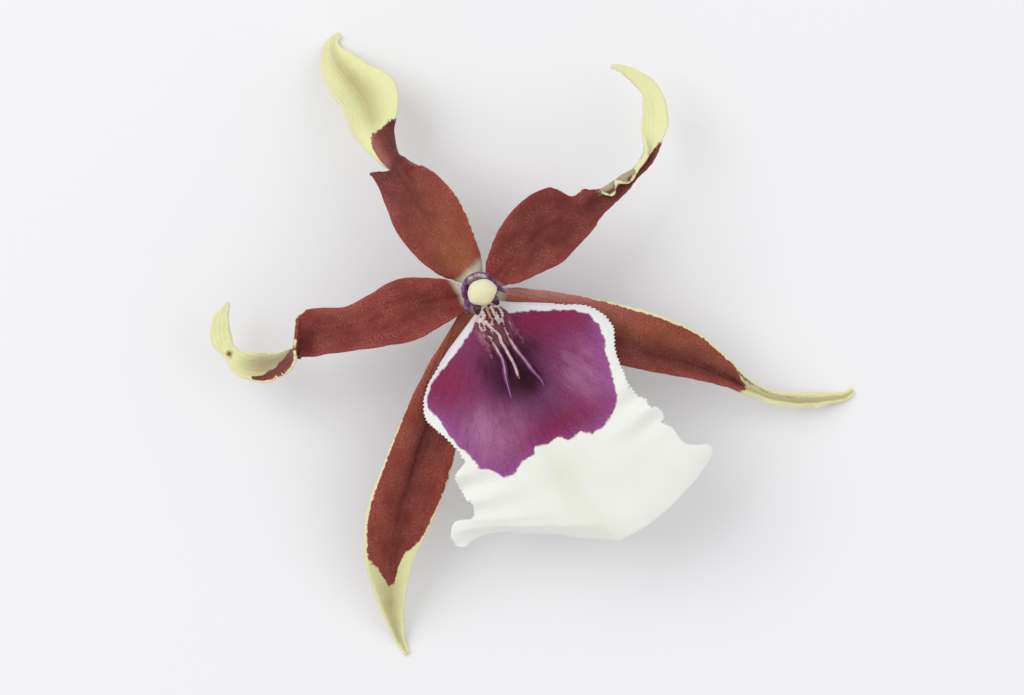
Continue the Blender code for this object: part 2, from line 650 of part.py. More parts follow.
def main():
    """Build the flower."""
    clear_scene()
    collection = new_collection("orchid_bloom")
    cutters = new_collection("cutters")
    hub = bpy.data.objects.new("hub", None)
    hub.location = Vector((HUB_X, HUB_Y, HUB_HEIGHT)) * MM
    collection.objects.link(hub)

    dress(make_stalk(collection, cutters), STALK_GREEN, 0.5, hub)
    table = helper_solid("table_block", unit_block, TABLE_SIZE, TABLE_CENTRE, cutters)
    sepals = {
        "dorsal_sepal": DORSAL_SEPAL,
        "lateral_sepal_left": LATERAL_SEPAL_LEFT,
        "lateral_sepal_right": LATERAL_SEPAL_RIGHT,
    }
    for name, stations in sepals.items():
        piece = make_tepal(name, stations, SEPAL_ROWS_PER_STATION, collection)
        dress(piece, TEPAL_RED, 0.45, hub)
        add_boolean(piece, table, "DIFFERENCE")
    for name, stations in {"petal_left": PETAL_LEFT, "petal_right": PETAL_RIGHT}.items():
        piece = make_tepal(name, stations, PETAL_ROWS_PER_STATION, collection)
        dress(piece, TEPAL_RED, 0.45, hub)
    dress(make_lip(collection, cutters), LIP_WHITE, 0.5, hub)
    dress(make_column(collection, cutters, hub), COLUMN_PURPLE, 0.4, hub)
    dress(make_cap(collection), CAP_CREAM, 0.4, hub)
    dress(make_pollinarium(collection, cutters), POLLEN_YELLOW, 0.5, hub)


main()
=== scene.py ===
"""Looks of a spider-flowered orchid bloom that lies face up on a pale floor.

The bloom is rebuilt finely over its CAD parts: five narrow blades, the lip with its
callus, the column with its cap and pollen, and the stalk. Points are millimetres from
the hub, the middle of the whorl under the column, until a mesh is made. The upright
(dorsal) sepal points to +Y, the lip to -Y, and the flower faces +Z.
"""

import logging
import math
from dataclasses import dataclass, field
from enum import Enum
from functools import partial
from typing import Any, Callable, NamedTuple, Sequence

import bmesh
import bpy
import numpy as np
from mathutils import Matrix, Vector


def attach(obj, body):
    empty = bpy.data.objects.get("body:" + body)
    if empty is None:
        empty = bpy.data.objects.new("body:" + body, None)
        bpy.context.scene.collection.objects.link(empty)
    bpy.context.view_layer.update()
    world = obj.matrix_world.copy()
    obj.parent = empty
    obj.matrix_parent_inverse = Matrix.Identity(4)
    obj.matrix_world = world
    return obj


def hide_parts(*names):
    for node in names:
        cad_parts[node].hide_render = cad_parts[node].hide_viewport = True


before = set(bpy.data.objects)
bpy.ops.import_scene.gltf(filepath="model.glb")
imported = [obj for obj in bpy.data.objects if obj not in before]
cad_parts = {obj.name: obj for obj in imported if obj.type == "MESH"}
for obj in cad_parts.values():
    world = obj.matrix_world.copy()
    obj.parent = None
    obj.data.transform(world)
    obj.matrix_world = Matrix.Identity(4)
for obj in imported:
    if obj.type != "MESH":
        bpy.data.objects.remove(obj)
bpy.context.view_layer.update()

LOG = logging.getLogger("orchid_bloom")

MM = 0.001
HUB = np.array([-2.3, 0.2, 16.8])
BODY = "root"

Colour = tuple[float, float, float]
Pairs = tuple[tuple[float, float], ...]

# Light under the skin, steps of a blade's bend, and the tints that a blade may have, a painted sheen and a
# painted shade among them
GLOW_COLOUR: Colour = (1.0, 0.45, 0.35)
GLOW_DEPTH = 0.6 * MM
SKIN_IOR = 1.4
BEND_STEPS = 100
BEND_REACH = 1.5
TINTS = ("dusk", "amber", "bloom", "grey", "taupe", "bruise", "spot")


class Station(NamedTuple):
    """Cross-section of a narrow blade: its midrib, half-widths, turn and curls.

    The lead moves the left margin ahead, in mm, and the right one back by the blade's share.
    """

    x: float
    y: float
    z: float
    left: float
    right: float
    roll: float = 0.0
    crease: float = 0.0
    left_curl: float = 0.0
    right_curl: float = 0.0
    lead: float = 0.0


class LipRow(NamedTuple):
    """One line across the lip, from its left margin (-X) to its right margin (+X)."""

    left_x: float
    left_y: float
    middle_x: float
    middle_y: float
    right_x: float
    right_y: float
    height: float
    left_drop: float
    right_drop: float
    left_bow: float = 1.6
    right_bow: float = 1.6
    left_lift: float = 0.0


class Side(Enum):
    """The two sides of a thin blade, as the value that its material reads."""

    FACE = 0.0
    REVERSE = 1.0


class Mould(Enum):
    """Plain shapes that cut into a piece or stand for a small mass."""

    BALL = "ball"
    BLOCK = "block"


# Numbers and meshes


def blend_rows(rows: np.ndarray, position: np.ndarray) -> np.ndarray:
    """Blend the rows of a table smoothly.

    Args:
        rows: Table of numbers, one row per station.
        position: Places counted in rows.

    Returns:
        One blended row for each place.
    """
    last = len(rows) - 1
    index = np.clip(position.astype(int), 0, last - 1)
    step = (position - index)[:, None]
    padded = np.vstack([2 * rows[0] - rows[1], rows, 2 * rows[-1] - rows[-2]])
    a, b, c, d = (padded[index + shift] for shift in range(4))
    square = (2 * a - 5 * b + 4 * c - d) * step**2
    cube = (3 * b - a - 3 * c + d) * step**3
    return 0.5 * (2 * b + (c - a) * step + square + cube)


def unit(vectors: np.ndarray) -> np.ndarray:
    """Vectors of length one."""
    return vectors / np.maximum(np.linalg.norm(vectors, axis=-1, keepdims=True), 1e-9)


def grid_normals(points: np.ndarray) -> np.ndarray:
    """Unit normals of a grid of points, out of its face."""
    return unit(np.cross(np.gradient(points, axis=0), np.gradient(points, axis=1)))


def inside_distance(points: np.ndarray, outline: np.ndarray) -> np.ndarray:
    """Measure how far points lie inside a closed outline.

    Args:
        points: Plan points, shape (n, 2).
        outline: Corners of the outline, shape (m, 2).

    Returns:
        The distance to the outline, positive inside and negative outside.
    """
    start, edge = outline, np.roll(outline, -1, axis=0) - outline
    offset = points[:, None] - start
    share = np.clip((offset * edge).sum(-1) / (edge**2).sum(-1), 0.0, 1.0)
    gap = np.linalg.norm(offset - share[..., None] * edge, axis=-1).min(1)
    rise = np.where(np.abs(edge[:, 1]) < 1e-9, 1e-9, edge[:, 1])
    above = offset[..., 1] > 0.0
    beyond = points[:, None, 1] > start[:, 1] + edge[:, 1]
    crossing = (above != beyond) & (offset[..., 0] < offset[..., 1] * edge[:, 0] / rise)
    return np.where(crossing.sum(1) % 2 == 1, gap, -gap)


def ripple(u: np.ndarray, v: np.ndarray, size: float, seed: int) -> np.ndarray:
    """Make a smooth uneven surface from a few waves.

    Args:
        u: First place, in millimetres.
        v: Second place, in millimetres.
        size: Length of the longest wave, in millimetres.
        seed: Chooses the waves.

    Returns:
        Heights of about -1 to 1.
    """
    draw = np.random.default_rng(seed)
    total = np.zeros(np.broadcast(u, v).shape)
    for _ in range(7):
        turn, phase = draw.uniform(0.0, math.tau, 2)
        pace = math.tau / (size * draw.uniform(0.45, 1.0))
        total = total + np.sin(pace * (u * math.cos(turn) + v * math.sin(turn)) + phase)
    return total / 3.5


def table(rows: Pairs, position: np.ndarray) -> np.ndarray:
    """Straight-line reading of a small table of places and values."""
    places, values = zip(*rows)
    return np.interp(position, places, values)


def linked(name: str, data: bpy.types.ID) -> bpy.types.Object:
    """Make an object of a mesh, light or camera and link it to the scene.

    Args:
        name: Name of the object.
        data: What it holds.

    Returns:
        The object.
    """
    item = bpy.data.objects.new(name, data)
    bpy.context.scene.collection.objects.link(item)
    return item


def from_shape(name: str, shape: bmesh.types.BMesh) -> bpy.types.Object:
    """Turn an edited shape into an object, and free it.

    Args:
        name: Name of the object and its mesh.
        shape: The shape.

    Returns:
        The object, linked to the scene.
    """
    mesh = bpy.data.meshes.new(name)
    shape.to_mesh(mesh)
    shape.free()
    return linked(name, mesh)


def mesh_object(
    name: str, points: np.ndarray, faces: list[Any], marks: dict[str, np.ndarray]
) -> bpy.types.Object:
    """Make a smooth mesh object with its point attributes.

    Args:
        name: Name of the object.
        points: Vertices in millimetres from the hub.
        faces: Vertex indices of each face.
        marks: Values or vectors for each vertex, by attribute name.

    Returns:
        The object, linked to the scene.
    """
    mesh = bpy.data.meshes.new(name)
    mesh.from_pydata(((points + HUB) * MM).tolist(), [], faces)
    for mark, values in marks.items():
        wide = values.ndim == 2
        layer = mesh.attributes.new(mark, "FLOAT_VECTOR" if wide else "FLOAT", "POINT")
        layer.data.foreach_set("vector" if wide else "value", values.astype(np.float32).ravel())
    mesh.shade_smooth()
    return linked(name, mesh)


def quads(index: np.ndarray) -> np.ndarray:
    """Quads between neighbouring entries of a grid of vertex indices."""
    corners = [index[:-1, :-1], index[1:, :-1], index[1:, 1:], index[:-1, 1:]]
    return np.stack(corners, -1).reshape(-1, 4)


@dataclass
class Sheet:
    """A grid of points that becomes a thin closed body with rounded margins."""

    points: np.ndarray
    thickness: float
    end_sharpness: float = 60.0
    side_sharpness: float = 14.0

    def fullness(self) -> np.ndarray:
        """Share of the full thickness at each point: none at the margins."""
        rows, columns = self.points.shape[:2]
        along = np.abs(np.linspace(-1.0, 1.0, rows))[:, None] ** self.end_sharpness
        across = np.abs(np.linspace(-1.0, 1.0, columns))[None, :] ** self.side_sharpness
        return np.sqrt((1.0 - along) * (1.0 - across))

    def build(self, name: str, marks: dict[str, np.ndarray]) -> bpy.types.Object:
        """Make the closed body.

        Args:
            name: Name of the object.
            marks: Values on the grid, by attribute name.

        Returns:
            The object, with the marks on both sides and "reverse" telling the sides apart.
        """
        rows, columns = self.points.shape[:2]
        half = self.thickness / 2.0 * grid_normals(self.points)
        full = self.fullness()[..., None]
        face = self.points - half * (1.0 - full)
        back = self.points - half * (1.0 + full)
        face_index = np.arange(rows * columns).reshape(rows, columns)
        back_index = face_index.copy()
        inner = (rows - 2) * (columns - 2)
        back_index[1:-1, 1:-1] = rows * columns + np.arange(inner).reshape(rows - 2, -1)
        faces = np.vstack([quads(face_index), quads(back_index)[:, ::-1]]).tolist()
        laid = {mark: self.both_sides(values, values) for mark, values in marks.items()}
        laid["reverse"] = self.both_sides(
            np.full((rows, columns), Side.FACE.value), np.full((rows, columns), Side.REVERSE.value)
        )
        return mesh_object(name, self.both_sides(face, back), faces, laid)

    def both_sides(self, face: np.ndarray, back: np.ndarray) -> np.ndarray:
        """Values of the face, then those of the back without its shared border."""
        tail = face.shape[2:]
        return np.concatenate([face.reshape(-1, *tail), back[1:-1, 1:-1].reshape(-1, *tail)])


@dataclass
class Sweep:
    """A rounded rod along smooth points, with its own width, height and section."""

    points: Sequence[tuple[float, float, float]]
    radii: Sequence[float]
    rings: int = 48
    sides: int = 24
    wide: float = 1.0
    tall: float = 1.0
    pinch: float = 0.0
    section: Callable[[np.ndarray, np.ndarray], np.ndarray] | None = None

    def surface(self) -> tuple[np.ndarray, np.ndarray, np.ndarray]:
        """Lay out the rod.

        Returns:
            The ring points, the share along the rod and the angle round it.
        """
        share = np.linspace(0.0, 1.0, self.rings)
        rows = np.hstack([np.array(self.points), np.array(self.radii)[:, None]])
        path = blend_rows(rows, share * (len(rows) - 1))
        heading = unit(np.gradient(path[:, :3], axis=0))
        up = unit(np.cross(heading, np.array([1.0, 0.0, 0.0])))
        side = np.cross(heading, up)
        angle = np.linspace(0.0, math.tau, self.sides, endpoint=False)
        ends = np.sqrt(np.clip(1.0 - np.abs(2.0 * share - 1.0) ** 24, 0.0, 1.0))
        radius = (path[:, 3] * ends)[:, None] * np.ones(self.sides)
        if self.section:
            radius = radius * self.section(share[:, None], angle[None, :])
        slim = self.wide * (1.0 - self.pinch * np.maximum(np.sin(angle), 0.0))
        out_wide = side[:, None] * (radius * np.cos(angle) * slim)[..., None]
        out_tall = up[:, None] * (radius * np.sin(angle) * self.tall)[..., None]
        return path[:, None, :3] + out_wide + out_tall, share, angle

    def faces(self) -> list[Any]:
        """Side quads and the two end faces."""
        index = np.arange(self.rings * self.sides).reshape(self.rings, self.sides)
        closed = np.hstack([index, index[:, :1]])
        ends = [index[0].tolist(), index[-1, ::-1].tolist()]
        return quads(closed).tolist() + ends

    def build(self, name: str) -> bpy.types.Object:
        """Make the rod.

        Args:
            name: Name of the object.

        Returns:
            The object, with "share" along it and "crest" on its upper side.
        """
        points, share, angle = self.surface()
        marks = {
            "share": np.repeat(share, self.sides),
            "crest": np.tile(np.sin(angle), self.rings),
        }
        item = mesh_object(name, points.reshape(-1, 3), self.faces(), marks)
        turn_outward(item)
        return item


def turn_outward(item: bpy.types.Object) -> None:
    """Weld a mesh's doubles and point its faces outwards.

    Args:
        item: The object with the mesh.
    """
    shape = bmesh.new()
    shape.from_mesh(item.data)
    bmesh.ops.remove_doubles(shape, verts=shape.verts, dist=0.000002)
    bmesh.ops.recalc_face_normals(shape, faces=shape.faces)
    shape.to_mesh(item.data)
    shape.free()


def revolve(
    name: str, profile: Pairs, steps: int, turns: int, bend: Callable[[np.ndarray], np.ndarray]
) -> bpy.types.Object:
    """Turn a smooth closed outline about Z and shape it.

    Args:
        name: Name of the object.
        profile: Radii and heights from one end on the axis to the other.
        steps: Points along the outline.
        turns: Points round the axis.
        bend: Moves the points, given and returned in millimetres.

    Returns:
        The closed object.
    """
    rows = np.array(profile)
    outline = blend_rows(rows, np.linspace(0.0, len(rows) - 1.0, steps))
    outline[:, 0] = np.maximum(outline[:, 0], 0.0)
    outline[[0, -1], 0] = 0.0
    angle = np.linspace(0.0, math.tau, turns + 1)
    x = outline[:, :1] * np.cos(angle)
    y = outline[:, :1] * np.sin(angle)
    z = outline[:, 1:] * np.ones_like(angle)
    points = bend(np.stack([x, y, z], -1).reshape(-1, 3))
    index = np.arange(len(points)).reshape(steps, turns + 1)
    item = mesh_object(name, points, quads(index).tolist(), {})
    turn_outward(item)
    return item


def settle(item: bpy.types.Object) -> bpy.types.Object:
    """Replace an object's mesh by its evaluated one and drop its modifiers.

    Args:
        item: The object with its modifiers.

    Returns:
        The same object.
    """
    bpy.context.view_layer.update()
    evaluated = item.evaluated_get(bpy.context.evaluated_depsgraph_get())
    mesh = bpy.data.meshes.new_from_object(evaluated)
    item.modifiers.clear()
    old, item.data = item.data, mesh
    bpy.data.meshes.remove(old)
    mesh.shade_smooth()
    return item


def joined(name: str, items: Sequence[bpy.types.Object]) -> bpy.types.Object:
    """Gather the meshes of several objects in one, and remove them.

    Args:
        name: Name of the new object.
        items: The objects.

    Returns:
        The new object.
    """
    shape = bmesh.new()
    for item in items:
        shape.from_mesh(item.data)
    whole = from_shape(name, shape)
    whole.data.shade_smooth()
    for item in items:
        bpy.data.objects.remove(item, do_unlink=True)
    return whole


def hub_points(item: bpy.types.Object) -> np.ndarray:
    """Read an object's vertices.

    Args:
        item: The object.

    Returns:
        The vertices, in millimetres from the hub.
    """
    points = np.zeros(len(item.data.vertices) * 3)
    item.data.vertices.foreach_get("co", points)
    return points.reshape(-1, 3) / MM - HUB


def mark_points(item: bpy.types.Object, mark: str, values: np.ndarray) -> None:
    """Write one value for each vertex as a point attribute."""
    layer = item.data.attributes.new(mark, "FLOAT", "POINT")
    layer.data.foreach_set("value", values.astype(np.float32))


def place(item: bpy.types.Object, node: str, material: bpy.types.Material) -> None:
    """Dress a finished piece, attach it to its body and hide its CAD node.

    Args:
        item: The piece.
        node: CAD node that it stands for.
        material: Its finish.
    """
    item.data.materials.clear()
    item.data.materials.append(material)
    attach(item, BODY)
    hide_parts(node)
    LOG.info("%s: %d faces, for %s", item.name, len(item.data.polygons), node)


# Finishes


class Shades:
    """Adds and links the shader nodes of one material."""

    def __init__(self, name: str) -> None:
        """Start a material with its Principled shader."""
        self.material = bpy.data.materials.new(name)
        self.material.use_nodes = True
        self.tree = self.material.node_tree
        self.shader = self.tree.nodes["Principled BSDF"]

    def node(self, kind: str, inputs: dict[Any, Any], **settings: Any) -> bpy.types.Node:
        """Add a node.

        Args:
            kind: Node type.
            inputs: Sockets to link or values to set, by input name or number.
            **settings: Properties of the node.

        Returns:
            The node.
        """
        made = self.tree.nodes.new(kind)
        for key, value in settings.items():
            setattr(made, key, value)
        for key, value in inputs.items():
            self.feed(made.inputs[key], value)
        return made

    def feed(self, socket: bpy.types.NodeSocket, value: Any) -> None:
        """Link a socket, or set its value.

        Args:
            socket: The input.
            value: A socket, the name of a point attribute, or a plain value.
        """
        if isinstance(value, str):
            value = self.reading(value)
        if isinstance(value, bpy.types.NodeSocket):
            self.tree.links.new(value, socket)
        elif socket.type == "RGBA":
            socket.default_value = (*value, 1.0)
        else:
            socket.default_value = value

    def reading(self, mark: str) -> bpy.types.NodeSocket:
        """Value of a point attribute."""
        return self.node("ShaderNodeAttribute", {}, attribute_name=mark).outputs["Fac"]

    def stretched(self, source: bpy.types.NodeSocket, factors: Colour) -> bpy.types.NodeSocket:
        """A vector times a factor on each axis."""
        inputs = {0: source, 1: factors}
        return self.node("ShaderNodeVectorMath", inputs, operation="MULTIPLY").outputs[0]

    def course(self, mark: str, stretch: Colour) -> bpy.types.NodeSocket:
        """A vector attribute, stretched on each axis."""
        source = self.node("ShaderNodeAttribute", {}, attribute_name=mark).outputs["Vector"]
        return self.stretched(source, stretch)

    def place_mm(self, stretch: Colour = (1.0, 1.0, 1.0)) -> bpy.types.NodeSocket:
        """The object's own coordinates, in millimetres times a stretch."""
        source = self.node("ShaderNodeTexCoord", {}).outputs["Object"]
        return self.stretched(source, tuple(value / MM for value in stretch))

    def grain(
        self, vector: bpy.types.NodeSocket, scale: float, detail: float = 3.0, rough: float = 0.55
    ) -> bpy.types.NodeSocket:
        """Noise from 0 to 1."""
        inputs = {"Vector": vector, "Scale": scale, "Detail": detail, "Roughness": rough}
        return self.node("ShaderNodeTexNoise", inputs).outputs[0]

    def calc(self, operation: str, first: Any, second: Any) -> bpy.types.NodeSocket:
        """One arithmetic step."""
        return self.node("ShaderNodeMath", {0: first, 1: second}, operation=operation).outputs[0]

    def times(self, first: Any, second: Any) -> bpy.types.NodeSocket:
        """Product of two values."""
        return self.calc("MULTIPLY", first, second)

    def step(self, value: Any, low: float, high: float) -> bpy.types.NodeSocket:
        """Smooth step from 0 at low to 1 at high."""
        inputs = {"Value": value, "From Min": low, "From Max": high}
        return self.node("ShaderNodeMapRange", inputs, interpolation_type="SMOOTHSTEP").outputs[0]

    def mix(self, share: Any, first: Any, second: Any) -> bpy.types.NodeSocket:
        """Colour between two colours."""
        return self.node("ShaderNodeMix", {0: share, 6: first, 7: second}, data_type="RGBA").outputs[2]

    def shaken(self, value: Any, noise: bpy.types.NodeSocket, reach: float) -> bpy.types.NodeSocket:
        """A value moved up and down by a noise."""
        shift = self.times(self.calc("SUBTRACT", noise, 0.5), 2.0 * reach)
        return self.calc("ADD", value, shift)

    def finish(
        self,
        colour: Any,
        rough: Any,
        relief: Any,
        depth_mm: float,
        glow: float = 0.12,
        shine: float = 0.3,
    ) -> bpy.types.Material:
        """Connect the results to the shader.

        Args:
            colour: Base colour.
            rough: Roughness.
            relief: Height that the bump reads, 0 to 1.
            depth_mm: Depth of the bump.
            glow: Share of light that passes under the skin.
            shine: Strength of the surface reflection, 0.5 for plain skin.

        Returns:
            The material.
        """
        bump = self.node("ShaderNodeBump", {"Height": relief, "Distance": depth_mm * MM})
        self.feed(self.shader.inputs["Base Color"], colour)
        self.feed(self.shader.inputs["Roughness"], rough)
        self.feed(self.shader.inputs["Normal"], bump.outputs[0])
        self.shader.inputs["Subsurface Weight"].default_value = glow
        self.shader.inputs["Subsurface Radius"].default_value = GLOW_COLOUR
        self.shader.inputs["Subsurface Scale"].default_value = GLOW_DEPTH
        self.shader.inputs["IOR"].default_value = SKIN_IOR
        self.shader.inputs["Specular IOR Level"].default_value = shine
        return self.material


@dataclass(frozen=True)
class TepalFinish:
    """Red-brown sepal and petal skin with cream margins and pale tips."""

    name: str = "tepal_skin"
    red: Colour = (0.215, 0.030, 0.023)
    deep: Colour = (0.125, 0.014, 0.012)
    # Pale orange-pink flecks: the blade's pale streaks and in part painted glints
    fleck_and_glint: Colour = (0.520, 0.165, 0.122)
    dusk: Colour = (0.085, 0.010, 0.009)
    # Deep pink-red of the margins, in part a painted highlight along them
    margin_red_and_highlight: Colour = (0.340, 0.050, 0.042)
    amber: Colour = (0.460, 0.180, 0.065)
    # Painted pale pink sheen
    bloom: Colour = (0.590, 0.270, 0.260)
    pale: Colour = (0.800, 0.815, 0.440)
    # Painted shade for the hollow middle of the pale tip
    hollow_shade_olive: Colour = (0.470, 0.415, 0.200)
    taupe: Colour = (0.300, 0.200, 0.160)
    cream: Colour = (0.780, 0.750, 0.450)
    base: Colour = (0.640, 0.620, 0.450)
    reverse_red: Colour = (0.185, 0.045, 0.035)
    bruise: Colour = (0.170, 0.055, 0.060)
    spot: Colour = (0.200, 0.090, 0.025)

    def material(self) -> bpy.types.Material:
        """Build the material from the blade's attributes."""
        s = Shades(self.name)
        fleck = s.grain(s.course("grain", (2.7, 7.2, 1.0)), 1.0, 1.0, 0.5)
        cloud = s.grain(s.course("grain", (0.6, 1.0, 1.0)), 0.32)
        jag = s.grain(s.course("grain", (1.0, 1.2, 1.0)), 1.5, 5.0, 0.65)
        red = self.red_zone(s, fleck, cloud)
        # Darker olive along the hollow middle of the pale tip: painted shade
        pale = s.mix(s.shaken("grey", cloud, 0.12), self.pale, self.hollow_shade_olive)
        pale = s.mix("taupe", pale, self.taupe)
        pale = s.mix(s.step(s.shaken("bruise", jag, 0.5), 0.42, 0.7), pale, self.bruise)
        pale = s.mix(s.step(s.shaken("spot", jag, 0.25), 0.2, 0.9), pale, self.spot)
        inside = s.step(s.shaken("red", jag, 1.3), -0.35, 0.25)
        colour = s.mix(inside, pale, red)
        colour = s.mix(s.step(s.shaken("cream", jag, 0.55), -0.06, 0.1), colour, self.cream)
        colour = s.mix(s.step(s.shaken("hub", cloud, 0.8), -0.9, 0.7), colour, self.base)
        range_of_rough = {"Value": fleck, "To Min": 0.34, "To Max": 0.56}
        rough = s.node("ShaderNodeMapRange", range_of_rough).outputs[0]
        return s.finish(colour, rough, fleck, depth_mm=0.08)

    def red_zone(
        self, s: Shades, fleck: bpy.types.NodeSocket, cloud: bpy.types.NodeSocket
    ) -> bpy.types.NodeSocket:
        """Colour of the red part.

        Args:
            s: The material's nodes.
            fleck: Fine grain along the blade.
            cloud: Broad unevenness.

        Returns:
            The colour.
        """
        red = s.mix(s.step(cloud, 0.22, 0.62), self.deep, self.red)
        red = s.mix(s.shaken("amber", cloud, 0.15), red, self.amber)
        # Deep pink-red towards the margins: their own colour and in part a painted highlight
        red = s.mix(s.times("edge", 0.6), red, self.margin_red_and_highlight)
        dark = s.times(s.shaken("dusk", cloud, 0.15), 0.92)
        red = s.mix(dark, red, self.dusk)
        # Painted pale pink sheen over the red
        red = s.mix(s.shaken("bloom", cloud, 0.1), red, self.bloom)
        # Broad patches where the pale flecks gather: a painted satin sheen
        sheen_patch = s.grain(s.course("grain", (0.25, 0.45, 1.0)), 1.0, 2.0, 0.5)
        sheen_patch = s.times(s.step(sheen_patch, 0.28, 0.85), 0.66)
        clear = s.calc("SUBTRACT", 1.0, s.times("dusk", 0.42))
        sheen_patch = s.times(sheen_patch, clear)
        fleck_glint_density = s.calc("ADD", s.times("edge", 0.2), sheen_patch)
        # Pale flecks, in part painted glints, thicker in the sheen patches and near the margins
        red = s.mix(s.times(s.step(fleck, 0.41, 0.68), fleck_glint_density), red, self.fleck_and_glint)
        red = s.mix(s.times(s.step(fleck, 0.50, 0.32), 0.45), red, self.deep)
        return s.mix(s.times("reverse", 0.8), red, self.reverse_red)


@dataclass(frozen=True)
class LipFinish:
    """White lip skin with a feathered purple middle and fine fanned veins."""

    name: str = "lip_skin"
    white: Colour = (0.860, 0.872, 0.825)
    lilac_white: Colour = (0.700, 0.650, 0.710)
    leaf_white: Colour = (0.740, 0.790, 0.580)
    purple: Colour = (0.210, 0.036, 0.120)
    lavender: Colour = (0.420, 0.175, 0.330)
    violet: Colour = (0.380, 0.110, 0.365)
    magenta: Colour = (0.235, 0.018, 0.068)
    maroon: Colour = (0.034, 0.004, 0.014)
    vein: Colour = (0.120, 0.016, 0.065)
    # Lighter fine cells: velvety grain of the skin and in part a painted sheen
    velvety_grain_sheen: Colour = (0.420, 0.180, 0.310)

    def material(self) -> bpy.types.Material:
        """Build the material from the lip's attributes."""
        s = Shades(self.name)
        streak = s.grain(s.course("fan", (4.2, 0.22, 1.0)), 1.2, 3.0, 0.6)
        cell = s.grain(s.place_mm(), 5.4, 1.5, 0.6)
        jag = s.grain(s.place_mm(), 0.9, 5.0, 0.65)
        sway = s.grain(s.course("fan", (0.9, 0.22, 1.0)), 0.8, 3.0, 0.6)
        soft = s.step(s.shaken(s.shaken("lavender", streak, 0.4), sway, 0.6), 0.1, 0.95)
        purple = s.mix(soft, self.purple, self.lavender)
        purple = s.mix(s.shaken("violet", streak, 0.15), purple, self.violet)
        purple = s.mix(s.shaken("magenta", streak, 0.2), purple, self.magenta)
        purple = s.mix(s.times(s.step(streak, 0.50, 0.68), 0.35), purple, self.vein)
        # Lighter fine cells, fewer where the middle is magenta: velvety grain and in part a painted sheen
        grain_sheen_share = s.calc("SUBTRACT", 0.36, s.times("magenta", 0.22))
        purple = s.mix(s.times(s.step(cell, 0.48, 0.76), grain_sheen_share), purple, self.velvety_grain_sheen)
        purple = s.mix(s.times(s.step(cell, 0.46, 0.28), 0.35), purple, self.vein)
        dark = s.shaken(s.shaken("maroon", streak, 0.18), sway, 0.3)
        purple = s.mix(s.step(dark, 0.0, 1.1), purple, self.maroon)
        white = s.mix("lilac", self.white, self.lilac_white)
        white = s.mix(s.shaken("leaf", jag, 0.08), white, self.leaf_white)
        inside = s.step(s.shaken("purple", jag, 0.6), -0.12, 0.3)
        face = s.calc("SUBTRACT", 1.0, s.times("reverse", 0.75))
        colour = s.mix(s.times(inside, face), white, purple)
        relief = s.calc("ADD", s.times(streak, 0.6), s.times(cell, 0.4))
        return s.finish(colour, 0.5, relief, depth_mm=0.07, glow=0.14, shine=0.16)


@dataclass(frozen=True)
class CallusFinish:
    """Cream callus with maroon stripes, and keels edged in lilac."""

    name: str = "callus_skin"
    cream: Colour = (0.800, 0.730, 0.570)
    lilac: Colour = (0.400, 0.185, 0.390)
    tan: Colour = (0.560, 0.330, 0.160)
    maroon: Colour = (0.125, 0.026, 0.045)
    dusty: Colour = (0.250, 0.075, 0.115)
    skin: Colour = (0.225, 0.030, 0.085)
    shade: Colour = (0.060, 0.010, 0.026)
    rust: Colour = (0.300, 0.090, 0.025)
    pink: Colour = (0.430, 0.150, 0.225)
    blush: Colour = (0.640, 0.500, 0.520)
    violet: Colour = (0.260, 0.080, 0.270)

    def material(self) -> bpy.types.Material:
        """Build the material from the callus's attributes."""
        s = Shades(self.name)
        jag = s.grain(s.place_mm(), 2.2, 4.0, 0.6)
        streak = s.grain(s.place_mm((3.0, 0.6, 0.6)), 1.4, 3.0, 0.6)
        base = s.mix(s.shaken("dusty", jag, 0.5), self.maroon, self.dusty)
        base = s.mix(s.shaken("skin", jag, 0.3), base, self.skin)
        base = s.mix("shade", base, self.shade)
        base = s.mix("violet", base, self.violet)
        base = s.mix(s.times("pink", s.step(streak, 0.38, 0.62)), base, self.pink)
        crest = s.mix(s.step(jag, 0.38, 0.58), self.cream, self.blush)
        crest = s.mix("lilac", crest, self.lilac)
        crest = s.mix("tan", crest, self.tan)
        line = s.step(s.shaken("line", jag, 0.5), 0.4, 0.65)
        colour = s.mix(line, base, crest)
        colour = s.mix(s.step("rust", 0.4, 0.8), colour, self.rust)
        return s.finish(colour, 0.38, jag, depth_mm=0.05)


